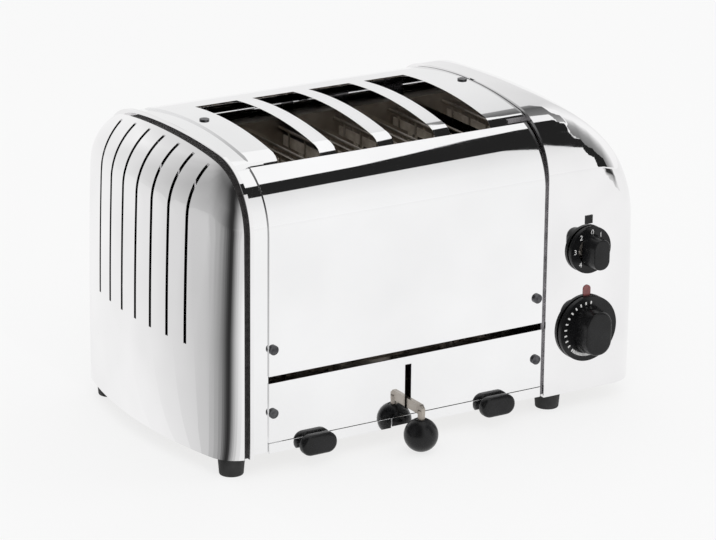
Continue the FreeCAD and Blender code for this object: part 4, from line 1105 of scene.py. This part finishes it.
def tone_material():
    """Plain light whose strength each corner of a card gives."""
    material = bpy.data.materials.new("card_tone")
    material.use_nodes = True
    nodes, links = material.node_tree.nodes, material.node_tree.links
    nodes.clear()
    tone = nodes.new("ShaderNodeVertexColor")
    tone.layer_name = "tone"
    light = nodes.new("ShaderNodeEmission")
    output = nodes.new("ShaderNodeOutputMaterial")
    links.new(tone.outputs["Color"], light.inputs["Color"])
    links.new(light.outputs["Emission"], output.inputs["Surface"])
    return material


def card(name, rows, tones, material):
    """A card outside the picture that only reflections show, with a tone at each of its points."""
    obj = sheet_of(rows, name)
    layer = obj.data.color_attributes.new(name="tone", type="FLOAT_COLOR", domain="POINT")
    for point, tone in zip(layer.data, (tone for row in tones for tone in row)):
        point.color = (tone, tone, tone, 1)
    obj.data.materials.append(material)
    obj.visible_camera = False
    obj.visible_diffuse = False
    obj.visible_transmission = False
    obj.visible_shadow = False


def towards(direction, height, reach):
    """A step of a given reach, in a direction right of the front and at a height in degrees."""
    turn, lift = math.radians(direction), math.radians(height)
    return Vector((math.sin(turn) * math.cos(lift), -math.cos(turn) * math.cos(lift),
                   math.sin(lift))) * reach


def sky_card(name, rows, reach, material):
    """A card on a sphere round the body, from rows of directions, heights and tones."""
    places = [[BODY_MIDDLE + towards(direction, height, reach) for direction, height, _ in row]
              for row in rows]
    card(name, places, [[tone for _, _, tone in row] for row in rows], material)


def floor_card(name, corner, directions, reaches, tones, material):
    """A card just over the floor that spreads from a corner of the body."""
    places = [[corner + towards(direction, 0, reach) for direction in directions]
              for reach in reaches]
    card(name, places, tones, material)


def make_cards():
    """Cards round the body, of which the nearer ones hide the others."""
    material = tone_material()
    left = [[(direction, height, tone) for direction, tone in zip(LEFT_DIRECTIONS, tones)]
            for height, tones in LEFT_ROWS]
    sky_card("left_sky", left, 3, material)
    floor_card("left_floor", LEFT_CORNER, LEFT_DIRECTIONS, LEFT_REACHES, [LEFT_FLOOR] * 3, material)
    floor_card("dark_floor", RIGHT_CORNER, RIGHT_DIRECTIONS, RIGHT_REACHES, RIGHT_FLOOR, material)
    strip = [[(*place, STRIP_TONE) for place in row] for row in DARK_STRIP]
    sky_card("dark_strip", strip, 2.9, material)
    sky_card("grey_corner", GREY_CORNER, 3, material)
    sky_card("back_arc", BACK_ARC, 3.1, material)
    back = [[(direction, height, tone) for direction, tone in BACK_TONES]
            for height in BACK_HEIGHTS]
    sky_card("back_sky", back, 3.2, material)
    sky_card("front_sky", FRONT_SKY, 3.3, material)


def area_light(name, place, size, power):
    """A lamp aimed at the body that no reflection shows."""
    bpy.ops.object.light_add(type="AREA", location=place)
    light = bpy.context.object
    light.name = name
    light.data.shape = "RECTANGLE"
    light.data.size, light.data.size_y = size
    light.data.energy = power
    aim = Vector((0, 0, 100 * MM))
    light.rotation_euler = (aim - Vector(place)).to_track_quat("-Z", "Y").to_euler()
    light.visible_glossy = False


def camera_or_mirror(nodes, links):
    """Is 1 for the camera, for mirrored light and for light through glass."""
    path = nodes.new("ShaderNodeLightPath")
    either = path.outputs["Is Camera Ray"]
    for other in ("Is Glossy Ray", "Is Transmission Ray"):
        largest = nodes.new("ShaderNodeMath")
        largest.operation = "MAXIMUM"
        links.new(either, largest.inputs[0])
        links.new(path.outputs[other], largest.inputs[1])
        either = largest.outputs[0]
    return either


def make_world():
    """White for the camera and for mirrors, and a plain level of light on everything else."""
    world = bpy.data.worlds.new("studio")
    bpy.context.scene.world = world
    world.use_nodes = True
    nodes, links = world.node_tree.nodes, world.node_tree.links
    ground = nodes["Background"]
    ground.inputs["Color"].default_value = (1, 1, 1, 1)
    ground.inputs["Strength"].default_value = GROUND_STRENGTH
    white = nodes.new("ShaderNodeBackground")
    white.inputs["Color"].default_value = (1, 1, 1, 1)
    white.inputs["Strength"].default_value = 1.0
    mix = nodes.new("ShaderNodeMixShader")
    links.new(camera_or_mirror(nodes, links), mix.inputs["Fac"])
    links.new(ground.outputs[0], mix.inputs[1])
    links.new(white.outputs[0], mix.inputs[2])
    links.new(mix.outputs[0], nodes["World Output"].inputs["Surface"])


def make_floor():
    """Floor that is nearly white for the camera and keeps a little of the body's shadow."""
    bpy.ops.mesh.primitive_plane_add(size=9, location=(0, 0, 0))
    floor = bpy.context.object
    floor.name = "floor"
    tree = Tree("floor")
    tree.set(Base_Color=tree.tinted(tree.noise(2, 2), (0.93, 0.93, 0.93), (0.95, 0.95, 0.95)),
             Roughness=0.75)
    nodes, links = tree.tree.nodes, tree.tree.links
    white = tree.add("ShaderNodeEmission")
    white.inputs["Color"].default_value = (FLOOR_WHITE, FLOOR_WHITE, FLOOR_WHITE, 1)
    mix = tree.add("ShaderNodeMixShader")
    share = tree.add("ShaderNodeMath", operation="MULTIPLY")
    share.inputs[1].default_value = FLOOR_SHARE
    links.new(camera_or_mirror(nodes, links), share.inputs[0])
    links.new(share.outputs[0], mix.inputs["Fac"])
    links.new(tree.shader.outputs["BSDF"], mix.inputs[1])
    links.new(white.outputs["Emission"], mix.inputs[2])
    links.new(mix.outputs[0], nodes["Material Output"].inputs["Surface"])
    floor.data.materials.append(tree.material)


def make_camera():
    """Camera towards the left of the front, as the photograph was taken."""
    stage = bpy.context.scene.toaster_stage
    azimuth, elevation = stage.azimuth, stage.elevation
    forward = Vector((math.sin(azimuth) * math.cos(elevation), math.cos(azimuth) * math.cos(elevation),
                      -math.sin(elevation)))
    right = Vector((math.cos(azimuth), -math.sin(azimuth), 0))
    up = right.cross(forward)
    place = BODY_MIDDLE - stage.aside * right - stage.below * up - stage.distance * forward
    turn = Matrix((right, up, -forward)).transposed() @ Matrix.Rotation(stage.roll, 3, "Z")
    data = bpy.data.cameras.new("camera")
    data.sensor_width = 36
    data.lens = stage.lens
    data.shift_y = stage.shift_y
    camera = bpy.data.objects.new("camera", data)
    camera.matrix_world = Matrix.Translation(place) @ turn.to_4x4()
    bpy.context.scene.collection.objects.link(camera)
    bpy.context.scene.camera = camera


class TOASTER_OT_stage(bpy.types.Operator):
    """Floor, world, lights, cards and camera"""
    bl_idname = "toaster.stage"
    bl_label = "Stage"

    def execute(self, context):
        context.scene.view_settings.view_transform = "Standard"
        make_camera()
        make_world()
        make_floor()
        make_cards()
        stage = context.scene.toaster_stage
        area_light("key", KEY_PLACE, KEY_SIZE, stage.key_power)
        area_light("fill", FILL_PLACE, FILL_SIZE, stage.fill_power)
        return {"FINISHED"}


class TOASTER_PT_panel(bpy.types.Panel):
    """Sizes, colours and pieces of the toaster"""
    bl_idname = "TOASTER_PT_panel"
    bl_label = "Toaster"
    bl_space_type = "VIEW_3D"
    bl_region_type = "UI"
    bl_category = "Toaster"

    def draw(self, context):
        column = self.layout.column()
        for group in (context.scene.toaster_finish, context.scene.toaster_casting,
                      context.scene.toaster_dials, context.scene.toaster_stage):
            for name in group.bl_rna.properties.keys():
                if name not in ("rna_type", "name"):
                    column.prop(group, name)
        for operator in OPERATORS:
            column.operator(operator.bl_idname)


OPERATORS = (TOASTER_OT_finishes, TOASTER_OT_castings, TOASTER_OT_sheets, TOASTER_OT_lever,
             TOASTER_OT_tray_knobs, TOASTER_OT_feet, TOASTER_OT_dials, TOASTER_OT_stage)
GROUPS = (ToasterFinish, ToasterCasting, ToasterDials, ToasterStage)


def register():
    for item in GROUPS + OPERATORS + (TOASTER_PT_panel,):
        bpy.utils.register_class(item)
    bpy.types.Scene.toaster_finish = bpy.props.PointerProperty(type=ToasterFinish)
    bpy.types.Scene.toaster_casting = bpy.props.PointerProperty(type=ToasterCasting)
    bpy.types.Scene.toaster_dials = bpy.props.PointerProperty(type=ToasterDials)
    bpy.types.Scene.toaster_stage = bpy.props.PointerProperty(type=ToasterStage)


def unregister():
    del bpy.types.Scene.toaster_finish
    del bpy.types.Scene.toaster_casting
    del bpy.types.Scene.toaster_dials
    del bpy.types.Scene.toaster_stage
    for item in reversed(GROUPS + OPERATORS + (TOASTER_PT_panel,)):
        bpy.utils.unregister_class(item)


def main():
    register()
    for operator in OPERATORS:
        group, name = operator.bl_idname.split(".")
        getattr(getattr(bpy.ops, group), name)()


if __name__ == "__main__":
    main()
